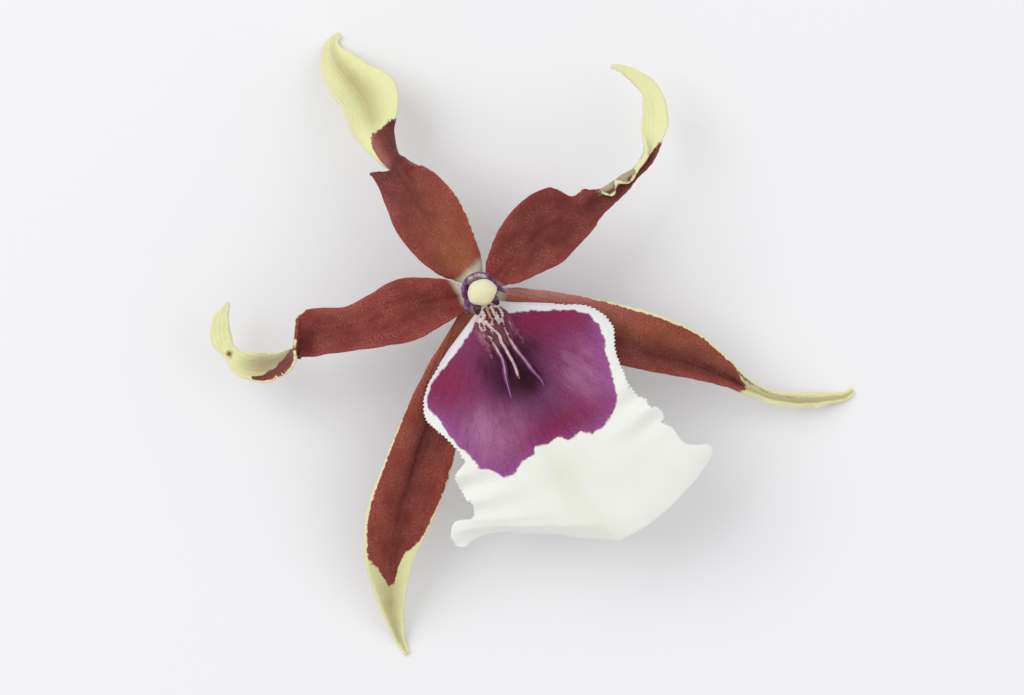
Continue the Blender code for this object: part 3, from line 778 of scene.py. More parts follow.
@dataclass(frozen=True)
class ColumnFinish:
    """Waxy purple column, pink below its head, with a rust-brown stigma."""

    name: str = "column_skin"
    purple: Colour = (0.105, 0.026, 0.110)
    violet: Colour = (0.230, 0.110, 0.235)
    pink: Colour = (0.400, 0.110, 0.270)
    dark: Colour = (0.055, 0.008, 0.025)
    cup: Colour = (0.720, 0.600, 0.650)
    lilac: Colour = (0.380, 0.250, 0.370)
    rust: Colour = (0.180, 0.040, 0.015)
    pale: Colour = (0.600, 0.560, 0.420)

    def material(self) -> bpy.types.Material:
        """Build the material from the column's attributes."""
        s = Shades(self.name)
        cloud = s.grain(s.place_mm(), 1.1, 4.0, 0.6)
        cell = s.grain(s.place_mm(), 6.0, 2.0, 0.5)
        colour = s.mix(s.step(cloud, 0.42, 0.66), self.purple, self.violet)
        colour = s.mix(s.step(s.shaken("neck", cloud, 0.4), 0.3, 0.7), colour, self.pink)
        colour = s.mix(s.step(s.shaken("foot", cloud, 0.3), 0.4, 0.7), colour, self.pale)
        colour = s.mix(s.step(s.shaken("tip", cloud, 0.2), 0.4, 0.8), colour, self.dark)
        mottle = s.step(s.grain(s.place_mm(), 1.5, 3.0, 0.6), 0.36, 0.64)
        cup = s.mix(mottle, self.lilac, self.cup)
        colour = s.mix(s.step(s.shaken("cup", cloud, 0.8), 0.1, 0.9), colour, cup)
        colour = s.mix(s.step("stigma", 0.3, 0.7), colour, self.rust)
        return s.finish(colour, 0.30, cell, depth_mm=0.04, glow=0.1)


@dataclass(frozen=True)
class CapFinish:
    """Smooth cream cap, yellower towards its beak."""

    name: str = "cap_skin"
    cream: Colour = (0.790, 0.755, 0.430)
    white: Colour = (0.800, 0.760, 0.580)
    yellow: Colour = (0.720, 0.680, 0.125)

    def material(self) -> bpy.types.Material:
        """Build the material from the cap's attribute."""
        s = Shades(self.name)
        cloud = s.grain(s.place_mm(), 0.9, 3.0, 0.5)
        cell = s.grain(s.place_mm(), 7.0, 2.0, 0.5)
        colour = s.mix(s.step(cloud, 0.35, 0.65), self.cream, self.white)
        colour = s.mix(s.step(s.shaken("beak", cloud, 0.15), 0.15, 0.85), colour, self.yellow)
        return s.finish(colour, 0.32, cell, depth_mm=0.03, glow=0.2)


@dataclass(frozen=True)
class PlainSkin:
    """Skin of one hue with clouds and specks, such as the pollen's or the stalk's."""

    name: str
    light: Colour
    dark: Colour
    speck: Colour
    rough: float = 0.45
    cloud_size: float = 0.5

    def material(self) -> bpy.types.Material:
        """Build the material on the object's own coordinates."""
        s = Shades(self.name)
        cloud = s.grain(s.place_mm((1.0, 0.35, 1.0)), self.cloud_size, 4.0, 0.55)
        speck = s.grain(s.place_mm((1.0, 0.8, 1.0)), 3.2, 2.0, 0.5)
        colour = s.mix(s.step(cloud, 0.35, 0.65), self.light, self.dark)
        colour = s.mix(s.step(speck, 0.62, 0.72), colour, self.speck)
        return s.finish(colour, self.rough, speck, depth_mm=0.05)


POLLEN = PlainSkin(
    name="pollen_wax",
    light=(0.82, 0.56, 0.10),
    dark=(0.70, 0.42, 0.05),
    speck=(0.88, 0.70, 0.25),
    rough=0.4,
    cloud_size=1.2,
)
STALK_SKIN = PlainSkin(
    name="stalk_skin", light=(0.20, 0.26, 0.07), dark=(0.17, 0.11, 0.05), speck=(0.15, 0.06, 0.04)
)


# Blades


@dataclass(frozen=True)
class Wash:
    """A tint that comes and goes along a blade, on both sides of a line.

    Attributes:
        rows: Station and strength.
        centre: Place of the line across.
        spread: Width of the tint across.
        drift: Station and shift of the line across.
    """

    rows: Pairs = ((0.0, 0.0), (1.0, 0.0))
    centre: float = 0.0
    spread: float = 10.0
    drift: Pairs = ((0.0, 0.0), (1.0, 0.0))

    def amount(self, position: np.ndarray, across: np.ndarray) -> np.ndarray:
        """Read the tint.

        Args:
            position: Places along, counted in stations.
            across: Places across, -1 to 1.

        Returns:
            Its strength at each place, 0 to 1.
        """
        line = self.centre + table(self.drift, position)[:, None]
        fade = np.exp(-(((across[None, :] - line) / self.spread) ** 2))
        return table(self.rows, position)[:, None] * fade


@dataclass(frozen=True)
class Blade:
    """One narrow sepal or petal with its colour zones.

    Attributes:
        node: CAD node that it stands for, and the start of its piece's name.
        stations: Cross-sections from base to tip.
        red_end: Station where the red ends, for places across from -1 (right) to 1 (left).
        cream: Station, then the width of the cream margin there on the left and right, in mm.
        hub_end: How far the pale base reaches, in mm.
        hub_slant: How much further it reaches at the left margin than at the middle, in mm.
        dusk: Dark tint of the red.
        amber: Orange-brown tint of the red.
        bloom: Painted pale pink sheen on the red.
        grey: Painted shade, duller and darker, along the hollow middle of the pale part.
        taupe: Grey-brown tint of the pale part.
        bruise: Purple-brown blotches on the pale part.
        spot: A small brown spot.
        groove: Depth of the groove along the middle, in mm.
        fold: How far the left half's curl gathers in one fold, 0 to 1, by station.
        fold_at: Distance of that fold from the midrib, in mm, by station.
        folded: Whole width of the folded left half, in mm, by station.
        right_lead: Share of a station's lead by which the right margin moves back.
        seed: Chooses the unevenness.
        rows: Rows of points along.
        columns: Points across.
        thickness: Full thickness, in mm.
        bend_width: Width of the fold, in mm.
        nerve_gap: Distance between two nerves, in mm.
        nerve_height: Height of a nerve, in mm.
    """

    node: str
    stations: tuple[Station, ...]
    red_end: Pairs
    cream: tuple[tuple[float, float, float], ...]
    hub_end: float
    seed: int
    dusk: Wash = Wash()
    amber: Wash = Wash()
    bloom: Wash = Wash()
    grey: Wash = Wash()
    taupe: Wash = Wash()
    bruise: Wash = Wash()
    spot: Wash = Wash()
    groove: Wash = Wash()
    hub_slant: float = 0.0
    fold: Pairs = ((0.0, 0.0), (1.0, 0.0))
    fold_at: Pairs = ((0.0, 3.0), (1.0, 3.0))
    folded: Pairs = ((0.0, 3.0), (1.0, 3.0))
    rows: int = 280
    columns: int = 57
    thickness: float = 0.75
    bend_width: float = 0.9
    right_lead: float = 1.0
    nerve_gap: float = 0.75
    nerve_height: float = 0.025

    def surface(self, position: np.ndarray, across: np.ndarray) -> tuple[np.ndarray, np.ndarray]:
        """Lay out the blade's face.

        Args:
            position: Places along, counted in stations.
            across: Places across, -1 (right margin) to 1 (left margin).

        Returns:
            Points, and each point's half-width, in mm.
        """
        rows = np.array(self.stations)
        cut = Station(*blend_rows(rows, position).T[..., None])
        midrib = np.hstack([cut.x, cut.y, cut.z])
        ahead = blend_rows(rows, np.minimum(position + 0.05, len(rows) - 1.0))[:, :3]
        behind = blend_rows(rows, np.maximum(position - 0.05, 0.0))[:, :3]
        heading = unit(ahead - behind)
        level = unit(np.cross(np.array([0.0, 0.0, 1.0]), heading))
        up = np.cross(heading, level)
        roll = -np.radians(cut.roll)
        side = level * np.cos(roll) + up * np.sin(roll)
        out = up * np.cos(roll) - level * np.sin(roll)
        on_left = across[None, :] > 0.0
        fold = table(self.fold, position)[:, None]
        left_width = cut.left * (1.0 - fold) + table(self.folded, position)[:, None] * fold
        width = np.where(on_left, left_width, cut.right)
        reach = np.abs(across)[None, :] * np.ones_like(width)
        bend_start = (table(self.fold_at, position)[:, None] - self.bend_width / 2.0) / left_width
        fine = np.linspace(0.0, BEND_REACH, int(BEND_REACH * BEND_STEPS) + 1)[None, :]
        gathered = np.clip((fine - bend_start) * left_width / self.bend_width, 0.0, 1.0)
        gathered = gathered**2 * (3.0 - 2.0 * gathered)
        left = self.section(reach, cut.crease, cut.left_curl, fine * (1.0 - fold) + gathered * fold)
        right = self.section(reach, cut.crease, cut.right_curl, fine * np.ones_like(fold))
        away = np.where(on_left, left[0], -right[0]) * width
        lift = np.where(on_left, left[1], right[1]) * width
        points = midrib[:, None] + side[:, None] * away[..., None] + out[:, None] * lift[..., None]
        lead = cut.lead * across[None, :] * np.where(on_left, 1.0, self.right_lead)
        return points + heading[:, None] * lead[..., None], width

    def section(
        self, reach: np.ndarray, crease: np.ndarray, curl: np.ndarray, share: np.ndarray
    ) -> tuple[np.ndarray, np.ndarray]:
        """Bend one half of each cross-section.

        Args:
            reach: Share of the half-width at each point.
            crease: Lift of the half at the midrib, in degrees, for each row.
            curl: Whole bend of the half, in degrees, for each row.
            share: How much of the bend is done at each fine step of the half-width.

        Returns:
            Distance across and height, as shares of the half-width.
        """
        angle = np.radians(crease) + np.radians(curl) * share
        place_in = reach * BEND_STEPS
        index = place_in.astype(int)
        part, row = place_in - index, np.arange(len(reach))[:, None]
        results = []
        for slope in (np.cos(angle), np.sin(angle)):
            whole = np.cumsum((slope[:, 1:] + slope[:, :-1]) / 2.0, axis=1) / BEND_STEPS
            whole = np.hstack([np.zeros((len(whole), 1)), whole])
            results.append(whole[row, index] * (1.0 - part) + whole[row, index + 1] * part)
        return results[0], results[1]

    def relief(
        self, length: np.ndarray, gap: np.ndarray, position: np.ndarray, across: np.ndarray
    ) -> np.ndarray:
        """Groove, nerves and unevenness over the plain face.

        Args:
            length: Distance from the base at each point, in mm.
            gap: Distance from the midrib at each point, in mm.
            position: Places along, in stations.
            across: Places across, -1 to 1.

        Returns:
            Height at each point, in mm.
        """
        nerves = self.nerve_height * np.cos(math.tau * gap / self.nerve_gap)
        uneven = 0.09 * ripple(length, gap, 7.0, self.seed)
        uneven = uneven + 0.035 * ripple(length, gap, 2.2, self.seed + 1)
        inside = np.clip(1.0 - np.abs(across) ** 6, 0.0, 1.0)[None, :]
        return (nerves + uneven) * (0.35 + 0.65 * inside) - self.groove.amount(position, across)

    def build(self, material: bpy.types.Material) -> None:
        """Build, dress and place the blade.

        Args:
            material: Its skin.
        """
        position = np.linspace(0.0, len(self.stations) - 1.0, self.rows)
        even = np.linspace(-1.0, 1.0, self.columns)
        across = 0.7 * even + 0.3 * np.sin(even * math.pi / 2.0)
        points, width = self.surface(position, across)
        middle = points[:, self.columns // 2]
        pace = np.linalg.norm(np.gradient(middle, axis=0), axis=1)
        length = np.cumsum(pace)[:, None] * np.ones_like(across)
        gap = across[None, :] * width
        relief = self.relief(length, gap, position, across)
        points = points + grid_normals(points) * relief[..., None]
        marks = self.zones(position, across, length, width, pace)
        marks["grain"] = np.stack([length, gap, np.full_like(gap, float(self.seed))], -1)
        item = Sheet(points, self.thickness).build(self.node + "_blade", marks)
        place(item, self.node, material)

    def zones(
        self,
        position: np.ndarray,
        across: np.ndarray,
        length: np.ndarray,
        width: np.ndarray,
        pace: np.ndarray,
    ) -> dict[str, np.ndarray]:
        """Colour zones as values on the grid.

        Args:
            position: Places along, in stations.
            across: Places across, -1 to 1.
            length: Distance from the base at each point, in mm.
            width: Half-width at each point, in mm.
            pace: Distance between rows, in mm.

        Returns:
            Values by attribute name.
        """
        per_station = pace * (self.rows - 1) / (len(self.stations) - 1.0)
        end = table(self.red_end, across)[None, :]
        red = (end - position[:, None]) * per_station[:, None]
        places, *bands = zip(*self.cream)
        left, right = (np.interp(position, places, band)[:, None] for band in bands)
        inward = (1.0 - np.abs(across))[None, :] * width
        tints = {name: getattr(self, name).amount(position, across) for name in TINTS}
        return tints | {
            "red": red,
            "cream": np.where(across[None, :] > 0.0, left, right) - inward,
            "hub": self.hub_end + self.hub_slant * across[None, :] - length,
            # Nearness to the margins, for their deep pink-red, in part a painted highlight, and their denser
            # flecks
            "edge": np.exp(-inward / 1.1),
        }


DORSAL_SEPAL = Blade(
    node="dorsal_sepal",
    stations=(
        Station(-0.2, 2.3, -0.4, 1.9, 1.8),
        Station(-0.8, 4.6, 0.0, 3.1, 3.4, 0, 3, 4, 4),
        Station(-1.7, 7.6, 0.6, 4.5, 4.7, 0, 8, 6, 6),
        Station(-2.4, 11.5, 1.2, 5.5, 5.7, 0, 8, 0, 0),
        Station(-2.8, 16.0, 1.2, 6.0, 5.9, 0, 8, -12, -12),
        Station(-3.4, 20.6, 0.6, 5.4, 5.3, 0, 4, -24, -20),
        Station(-3.75, 23.4, -0.2, 4.65, 4.6, 0, 0, -22, -42, 1.0),
        Station(-3.83, 24.2, -0.45, 4.5, 4.4, 0, -1, -26, -58, 3.4),
        Station(-4.03, 26.2, -1.25, 3.1, 4.1, 0, -3, -140, -95, -1.0),
        Station(-4.2, 28.0, -2.15, 2.8, 3.8, 0, -3, -70, -125, -0.6),
        Station(-4.2, 31.8, -4.6, 3.9, 3.2, 0, 6, -30, -60),
        Station(-3.9, 34.6, -6.3, 4.7, 4.6, -4, 16, 6, -10),
        Station(-3.4, 38.2, -8.6, 5.7, 5.8, -6, 24, 20, 8),
        Station(-4.1, 42.4, -11.3, 4.8, 3.9, 0, 24, 20, 10),
        Station(-4.9, 46.1, -13.5, 3.6, 2.9, 0, 18, 20, 10),
        Station(-4.9, 48.9, -15.2, 2.0, 1.6, 0, 8, 12, 6),
        Station(-4.1, 50.5, -16.1, 0.9, 0.9),
        Station(-2.7, 51.1, -16.2, 0.5, 0.5),
    ),
    red_end=((-1.0, 10.6), (-0.6, 10.6), (-0.2, 10.2), (0.3, 10.1), (0.6, 9.6), (0.8, 8.4), (1.0, 7.6)),
    cream=(
        (0.0, -0.1, -0.1), (2.5, -0.15, 0.08), (5.8, -0.2, 0.1), (6.9, -0.3, 0.0), (7.15, 0.9, -0.3),
        (9.0, 0.9, -0.5), (11.0, 0.6, 0.3), (17.0, 0.3, 0.3),
    ),
    hub_end=1.8,
    seed=11,
    right_lead=0.0,
    dusk=Wash(
        ((0.0, 0.0), (2.5, 0.15), (5.0, 0.6), (6.5, 1.0), (11.0, 1.0)), 0.35, 0.75,
        ((7.3, 0.0), (8.4, -0.8), (11.0, -1.1)),
    ),
    # Painted pale pink sheen
    bloom=Wash(((7.9, 0.0), (8.4, 0.35), (9.5, 0.4), (10.5, 0.15)), 0.5, 0.35),
    amber=Wash(((0.0, 0.85), (1.0, 0.8), (3.0, 0.42), (4.5, 0.1), (5.5, 0.0)), -0.1, 0.85),
    # Painted shade along the hollow middle of the pale tip
    grey=Wash(((10.0, 0.1), (11.0, 0.55), (13.0, 0.8), (15.0, 0.5), (17.0, 0.1)), 0.0, 0.42),
    groove=Wash(((0.0, 0.0), (1.5, 0.25), (6.0, 0.15), (8.0, 0.0)), 0.0, 0.10),
)

PETAL_LEFT = Blade(
    node="petal_left",
    stations=(
        Station(-2.5, 0.3, 1.3, 1.6, 1.6),
        Station(-4.6, 0.7, 1.8, 2.9, 2.9, 0, 4, 6, 6),
        Station(-8.0, 1.6, 2.2, 4.2, 4.2, 0, 5, 4, 4),
        Station(-13.0, 2.6, 2.3, 5.4, 5.4, 0, 4, 0, -6),
        Station(-18.0, 3.2, 1.8, 4.7, 4.7, 0, 2, 0, -14),
        Station(-23.0, 4.1, 0.9, 4.0, 3.9, 0, 0, 0, -20),
        Station(-27.2, 5.4, -0.6, 3.9, 4.2, 0, 0, 0, -12, 0.2),
        Station(-29.7, 5.6, -1.3, 3.2, 4.4, 8, 0, 0, 0, 1.6),
        Station(-31.2, 5.2, -1.5, 1.5, 3.6, 34, 0, 0, 0, 2.4),
        Station(-32.5, 4.6, -1.7, 1.4, 3.0, 68, 0, 0, 6, 1.9),
        Station(-33.6, 4.1, -2.3, 2.1, 2.5, 108, 2, 2, 10, 1.1),
        Station(-35.1, 3.9, -3.2, 1.8, 2.3, 142, 6, 6, 14, 0.4),
        Station(-37.2, 4.1, -4.7, 1.9, 2.4, 166, 10, 10, 16),
        Station(-39.9, 5.0, -6.4, 2.5, 2.8, 180, 12, 10, 20),
        Station(-42.5, 6.9, -7.6, 2.0, 2.2, 180, 8, 10, 10),
        Station(-43.7, 9.6, -8.2, 1.4, 1.3, 180),
        Station(-43.9, 12.3, -8.2, 1.9, 1.9, 180),
        Station(-42.6, 15.1, -7.8, 1.5, 1.3, 180),
        Station(-40.0, 17.3, -7.2, 0.4, 0.4, 180),
    ),
    red_end=(
        (-1.0, 12.9), (-0.85, 13.3), (-0.65, 13.4), (-0.5, 13.0), (-0.3, 12.3), (-0.15, 11.7),
        (0.0, 11.2), (0.2, 10.7), (1.0, 10.2),
    ),
    cream=(
        (0.0, -1.0, -0.3), (5.0, -1.0, -0.3), (6.7, -1.0, -0.3), (7.2, -1.0, 0.1), (8.6, -1.0, -0.1),
        (9.2, -1.0, 0.1), (10.8, 0.0, 0.35), (12.5, 0.3, 0.5), (15.0, 0.4, 0.4), (18.0, 0.4, 0.4),
    ),
    hub_end=1.7,
    hub_slant=-0.9,
    seed=23,
    thickness=0.7,
    dusk=Wash(
        ((0.0, 0.1), (1.0, 0.0), (4.0, 0.05), (6.5, 0.4), (7.5, 0.7), (9.0, 0.8), (13.0, 0.8)), 0.1, 0.75
    ),
    # Painted shade along the hollow middle of the pale tip
    grey=Wash(((10.0, 0.95), (13.0, 0.95), (14.2, 0.3), (15.0, 0.0)), 0.1, 0.7),
    taupe=Wash(((9.5, 0.0), (10.5, 0.6), (12.6, 0.6), (14.2, 0.0)), 0.3, 0.6),
    spot=Wash(((14.4, 0.0), (14.9, 1.0), (15.3, 0.0)), -0.1, 0.5),
    groove=Wash(((0.0, 0.0), (1.5, 0.22), (6.0, 0.18), (8.0, 0.0)), 0.0, 0.10),
)

PETAL_RIGHT = Blade(
    node="petal_right",
    stations=(
        Station(2.3, 0.4, 1.3, 1.6, 1.6),
        Station(4.4, 1.5, 1.8, 3.1, 3.3, 0, 5, 5, 5),
        Station(8.2, 2.8, 2.2, 5.1, 4.8, 0, 6, 4, 4),
        Station(13.0, 4.1, 2.3, 6.3, 6.0, 0, 6, -4, -4),
        Station(16.6, 4.6, 1.9, 6.4, 5.5, 0, 4, -8, -8),
        Station(19.0, 4.7, 1.5, 5.5, 4.8, 0, 2, -8, -8),
        Station(20.9, 4.8, 1.0, 3.0, 4.1, 0, 0, -8, -6),
        Station(22.8, 5.0, 0.4, 2.7, 3.2, 0, 0, 10, -4),
        Station(24.6, 5.0, -0.1, 2.4, 2.4, 0, 2, 160, 0),
        Station(26.2, 5.0, -0.5, 2.8, 1.8, 0, 4, 168, 0),
        Station(28.8, 5.3, -1.3, 2.9, 1.2, 0, 6, 168, 0),
        Station(32.4, 6.3, -2.5, 2.7, 0.7, 0, 10, 166, 0),
        Station(35.4, 7.7, -3.5, 2.2, 0.8, 6, 14, 150, 0),
        Station(37.6, 9.8, -4.4, 1.9, 1.1, 10, 12, 50, 0),
        Station(39.2, 12.4, -5.2, 2.6, 2.0, 4, 8, 10, 0),
        Station(40.5, 15.4, -5.8, 2.1, 1.9, 0, 6, 10, 0),
        Station(41.0, 18.2, -6.0, 1.7, 1.5, 0, 4, 10, 0),
        Station(40.2, 20.8, -6.0, 1.3, 1.2, 0, 4, 10, 0),
        Station(38.6, 23.2, -5.8, 0.8, 0.8),
        Station(36.8, 25.0, -5.6, 0.4, 0.4),
    ),
    red_end=((-1.0, 13.1), (-0.3, 12.8), (0.1, 12.3), (0.3, 11.0), (0.4, 8.4), (1.0, 8.0)),
    cream=(
        (0.0, -1.0, -0.3), (8.1, -1.0, -0.6), (8.5, 0.3, -1.0), (12.5, 0.4, -1.0), (13.5, 0.4, -0.2),
        (14.5, 0.4, 0.3), (19.0, 0.3, 0.3),
    ),
    hub_end=0.1,
    seed=37,
    dusk=Wash(
        ((0.0, 0.0), (1.0, 0.1), (3.0, 0.65), (5.5, 0.7), (7.5, 0.95), (11.0, 1.0), (13.0, 1.0)), 0.1, 1.15
    ),
    taupe=Wash(((8.0, 0.9), (11.5, 0.8), (12.6, 0.2), (13.2, 0.0)), 0.7, 0.6),
    bruise=Wash(
        ((8.6, 0.0), (9.0, 1.0), (9.4, 0.9), (9.8, 0.2), (10.2, 0.3), (10.5, 1.0), (10.9, 0.1)), 0.8, 0.22
    ),
    fold=((7.0, 0.0), (7.2, 1.0), (12.2, 1.0), (13.0, 0.0)),
    fold_at=(
        (7.0, 3.5), (7.5, 3.0), (7.75, 2.1), (8.0, 1.35), (8.5, 1.11), (9.0, 1.08), (9.9, 1.2),
        (10.4, 1.05), (10.8, 0.75), (11.2, 0.62), (12.2, 0.75), (13.0, 1.0),
    ),
    folded=(
        (7.0, 2.9), (7.2, 2.9), (7.5, 2.5), (7.75, 1.95), (8.0, 1.45), (8.5, 1.55), (8.9, 2.2),
        (9.15, 2.7), (9.45, 2.65), (9.65, 2.0), (9.9, 1.65), (10.1, 1.9), (10.35, 2.5), (10.55, 2.25),
        (10.8, 1.65), (11.2, 1.1), (11.7, 1.15), (12.2, 1.35), (13.0, 1.8),
    ),
    groove=Wash(((0.0, 0.0), (1.5, 0.22), (5.0, 0.18), (7.0, 0.0)), 0.0, 0.10),
)

LATERAL_SEPAL_LEFT = Blade(
    node="lateral_sepal_left",
    stations=(
        Station(-1.8, -1.8, -0.4, 1.6, 1.6),
        Station(-3.9, -3.7, -0.2, 2.2, 2.2, 0, 4, 4, 4),
        Station(-7.0, -6.4, 0.0, 3.0, 2.8, 0, 8, 6, 6),
        Station(-12.6, -11.4, -0.4, 4.2, 4.0, 0, 12, -4, -6),
        Station(-18.4, -17.0, -1.4, 5.4, 4.8, 0, 14, -14, -16),
        Station(-24.2, -23.0, -2.8, 6.1, 5.5, 0, 14, -20, -20),
        Station(-29.6, -28.8, -4.9, 5.5, 6.0, 0, 14, -20, -20),
        Station(-33.8, -34.4, -7.8, 3.7, 5.1, 0, 12, -10, -10),
        Station(-36.6, -39.6, -10.8, 2.5, 3.3, 0, 8, 0, 0),
        Station(-38.4, -43.8, -13.2, 1.7, 1.8, 0, 6, 0, 0),
        Station(-39.2, -47.2, -15.2, 1.0, 1.1, 0, 4, 20, 0),
        Station(-39.4, -49.4, -16.1, 0.7, 0.7),
        Station(-39.4, -51.0, -16.2, 0.5, 0.5),
    ),
    red_end=((-1.0, 7.0), (-0.55, 7.3), (-0.15, 7.9), (0.15, 7.7), (0.45, 6.9), (1.0, 6.3)),
    cream=(
        (0.0, -1.0, -1.0), (2.5, -1.0, -0.4), (4.0, 0.0, 0.15), (5.0, 0.3, 0.35), (6.5, 0.7, 0.7),
        (8.0, 0.6, 0.6), (12.0, 0.3, 0.3),
    ),
    hub_end=1.6,
    seed=41,
    dusk=Wash(((1.0, 0.0), (3.0, 0.8), (4.2, 1.0), (5.2, 0.8), (7.0, 0.45), (8.0, 0.4)), 0.0, 0.42),
    amber=Wash(((0.0, 1.0), (2.0, 0.7), (3.5, 0.22), (5.0, 0.05), (7.0, 0.1)), -0.3, 1.2),
    # Painted shade along the hollow middle of the pale tip
    grey=Wash(((7.0, 0.5), (8.5, 0.95), (10.0, 0.8), (12.0, 0.5)), -0.2, 0.8),
    groove=Wash(((1.0, 0.0), (3.0, 0.35), (7.0, 0.35), (9.0, 0.0)), 0.0, 0.12),
)

LATERAL_SEPAL_RIGHT = Blade(
    node="lateral_sepal_right",
    stations=(
        Station(1.7, -1.9, -0.4, 1.6, 1.6),
        Station(4.2, -3.9, -0.2, 2.0, 2.2, 0, 4, 4, 4),
        Station(7.6, -6.6, 0.0, 2.6, 3.0, 0, 8, 6, 6),
        Station(12.6, -11.2, -0.4, 3.6, 4.4, 0, 12, -6, -4),
        Station(17.6, -16.6, -1.4, 4.9, 5.2, 0, 14, -16, -14),
        Station(22.4, -21.7, -2.6, 5.4, 4.4, 0, 14, -18, -20),
        Station(26.8, -26.3, -4.4, 5.0, 3.3, 8, 14, -16, -26),
        Station(30.5, -30.7, -6.6, 3.3, 2.1, 18, 14, -6, -26),
        Station(33.6, -34.9, -8.8, 1.8, 1.0, 36, 14, 14, -14),
        Station(36.8, -38.5, -11.0, 1.4, 0.7, 50, 14, 50, 0),
        Station(41.0, -41.4, -13.2, 1.4, 0.7, 50, 14, 80, 0),
        Station(45.6, -43.2, -15.0, 1.1, 0.7, 40, 8, 60, 0),
        Station(48.6, -43.9, -16.0, 0.7, 0.7, 12),
        Station(50.3, -43.7, -16.2, 0.5, 0.5),
    ),
    red_end=((-1.0, 7.8), (-0.3, 8.0), (0.2, 7.9), (0.6, 7.5), (1.0, 7.2)),
    cream=(
        (0.0, -1.0, -1.0), (2.5, -0.2, -1.0), (4.0, 0.45, -1.0), (6.5, 0.65, -1.0), (7.6, 0.5, -0.5),
        (9.0, 0.5, 0.4), (13.0, 0.3, 0.3),
    ),
    hub_end=1.4,
    seed=53,
    dusk=Wash(
        ((1.0, 0.0), (3.0, 0.4), (5.0, 1.0), (8.0, 1.0)), -0.1, 0.5, ((2.0, -0.35), (5.0, -0.2), (7.0, 0.0))
    ),
    amber=Wash(((0.0, 1.0), (2.0, 0.7), (3.5, 0.3), (6.0, 0.2), (8.0, 0.2)), 0.3, 1.2),
    # Painted pale pink sheen along the upper margin near the base
    bloom=Wash(((0.5, 0.85), (2.0, 0.8), (3.0, 0.4), (4.0, 0.1), (5.0, 0.0)), 0.9, 0.6),
    # Painted shade along the hollow middle of the pale tip
    grey=Wash(((8.0, 0.6), (10.0, 0.8), (13.0, 0.7)), 0.0, 0.8),
    taupe=Wash(((8.0, 0.2), (10.0, 0.25), (12.0, 0.2), (13.0, 0.0)), 0.0, 0.8),
    bruise=Wash(((8.0, 0.6), (9.5, 0.55), (11.0, 0.4), (12.0, 0.2)), 0.7, 0.45),
    groove=Wash(
        ((1.0, 0.0), (3.0, 0.4), (7.5, 0.4), (9.0, 0.0)), 0.0, 0.12, ((2.0, -0.35), (5.0, -0.2), (7.0, 0.0))
    ),
)


@dataclass
class Whorl:
    """The three sepals and two petals."""

    finish: TepalFinish = field(default_factory=TepalFinish)
    blades: tuple[Blade, ...] = (
        DORSAL_SEPAL,
        LATERAL_SEPAL_LEFT,
        LATERAL_SEPAL_RIGHT,
        PETAL_LEFT,
        PETAL_RIGHT,
    )

    def build(self) -> None:
        """Build the five blades in one skin."""
        material = self.finish.material()
        for blade in self.blades:
            blade.build(material)


# Small repeated things


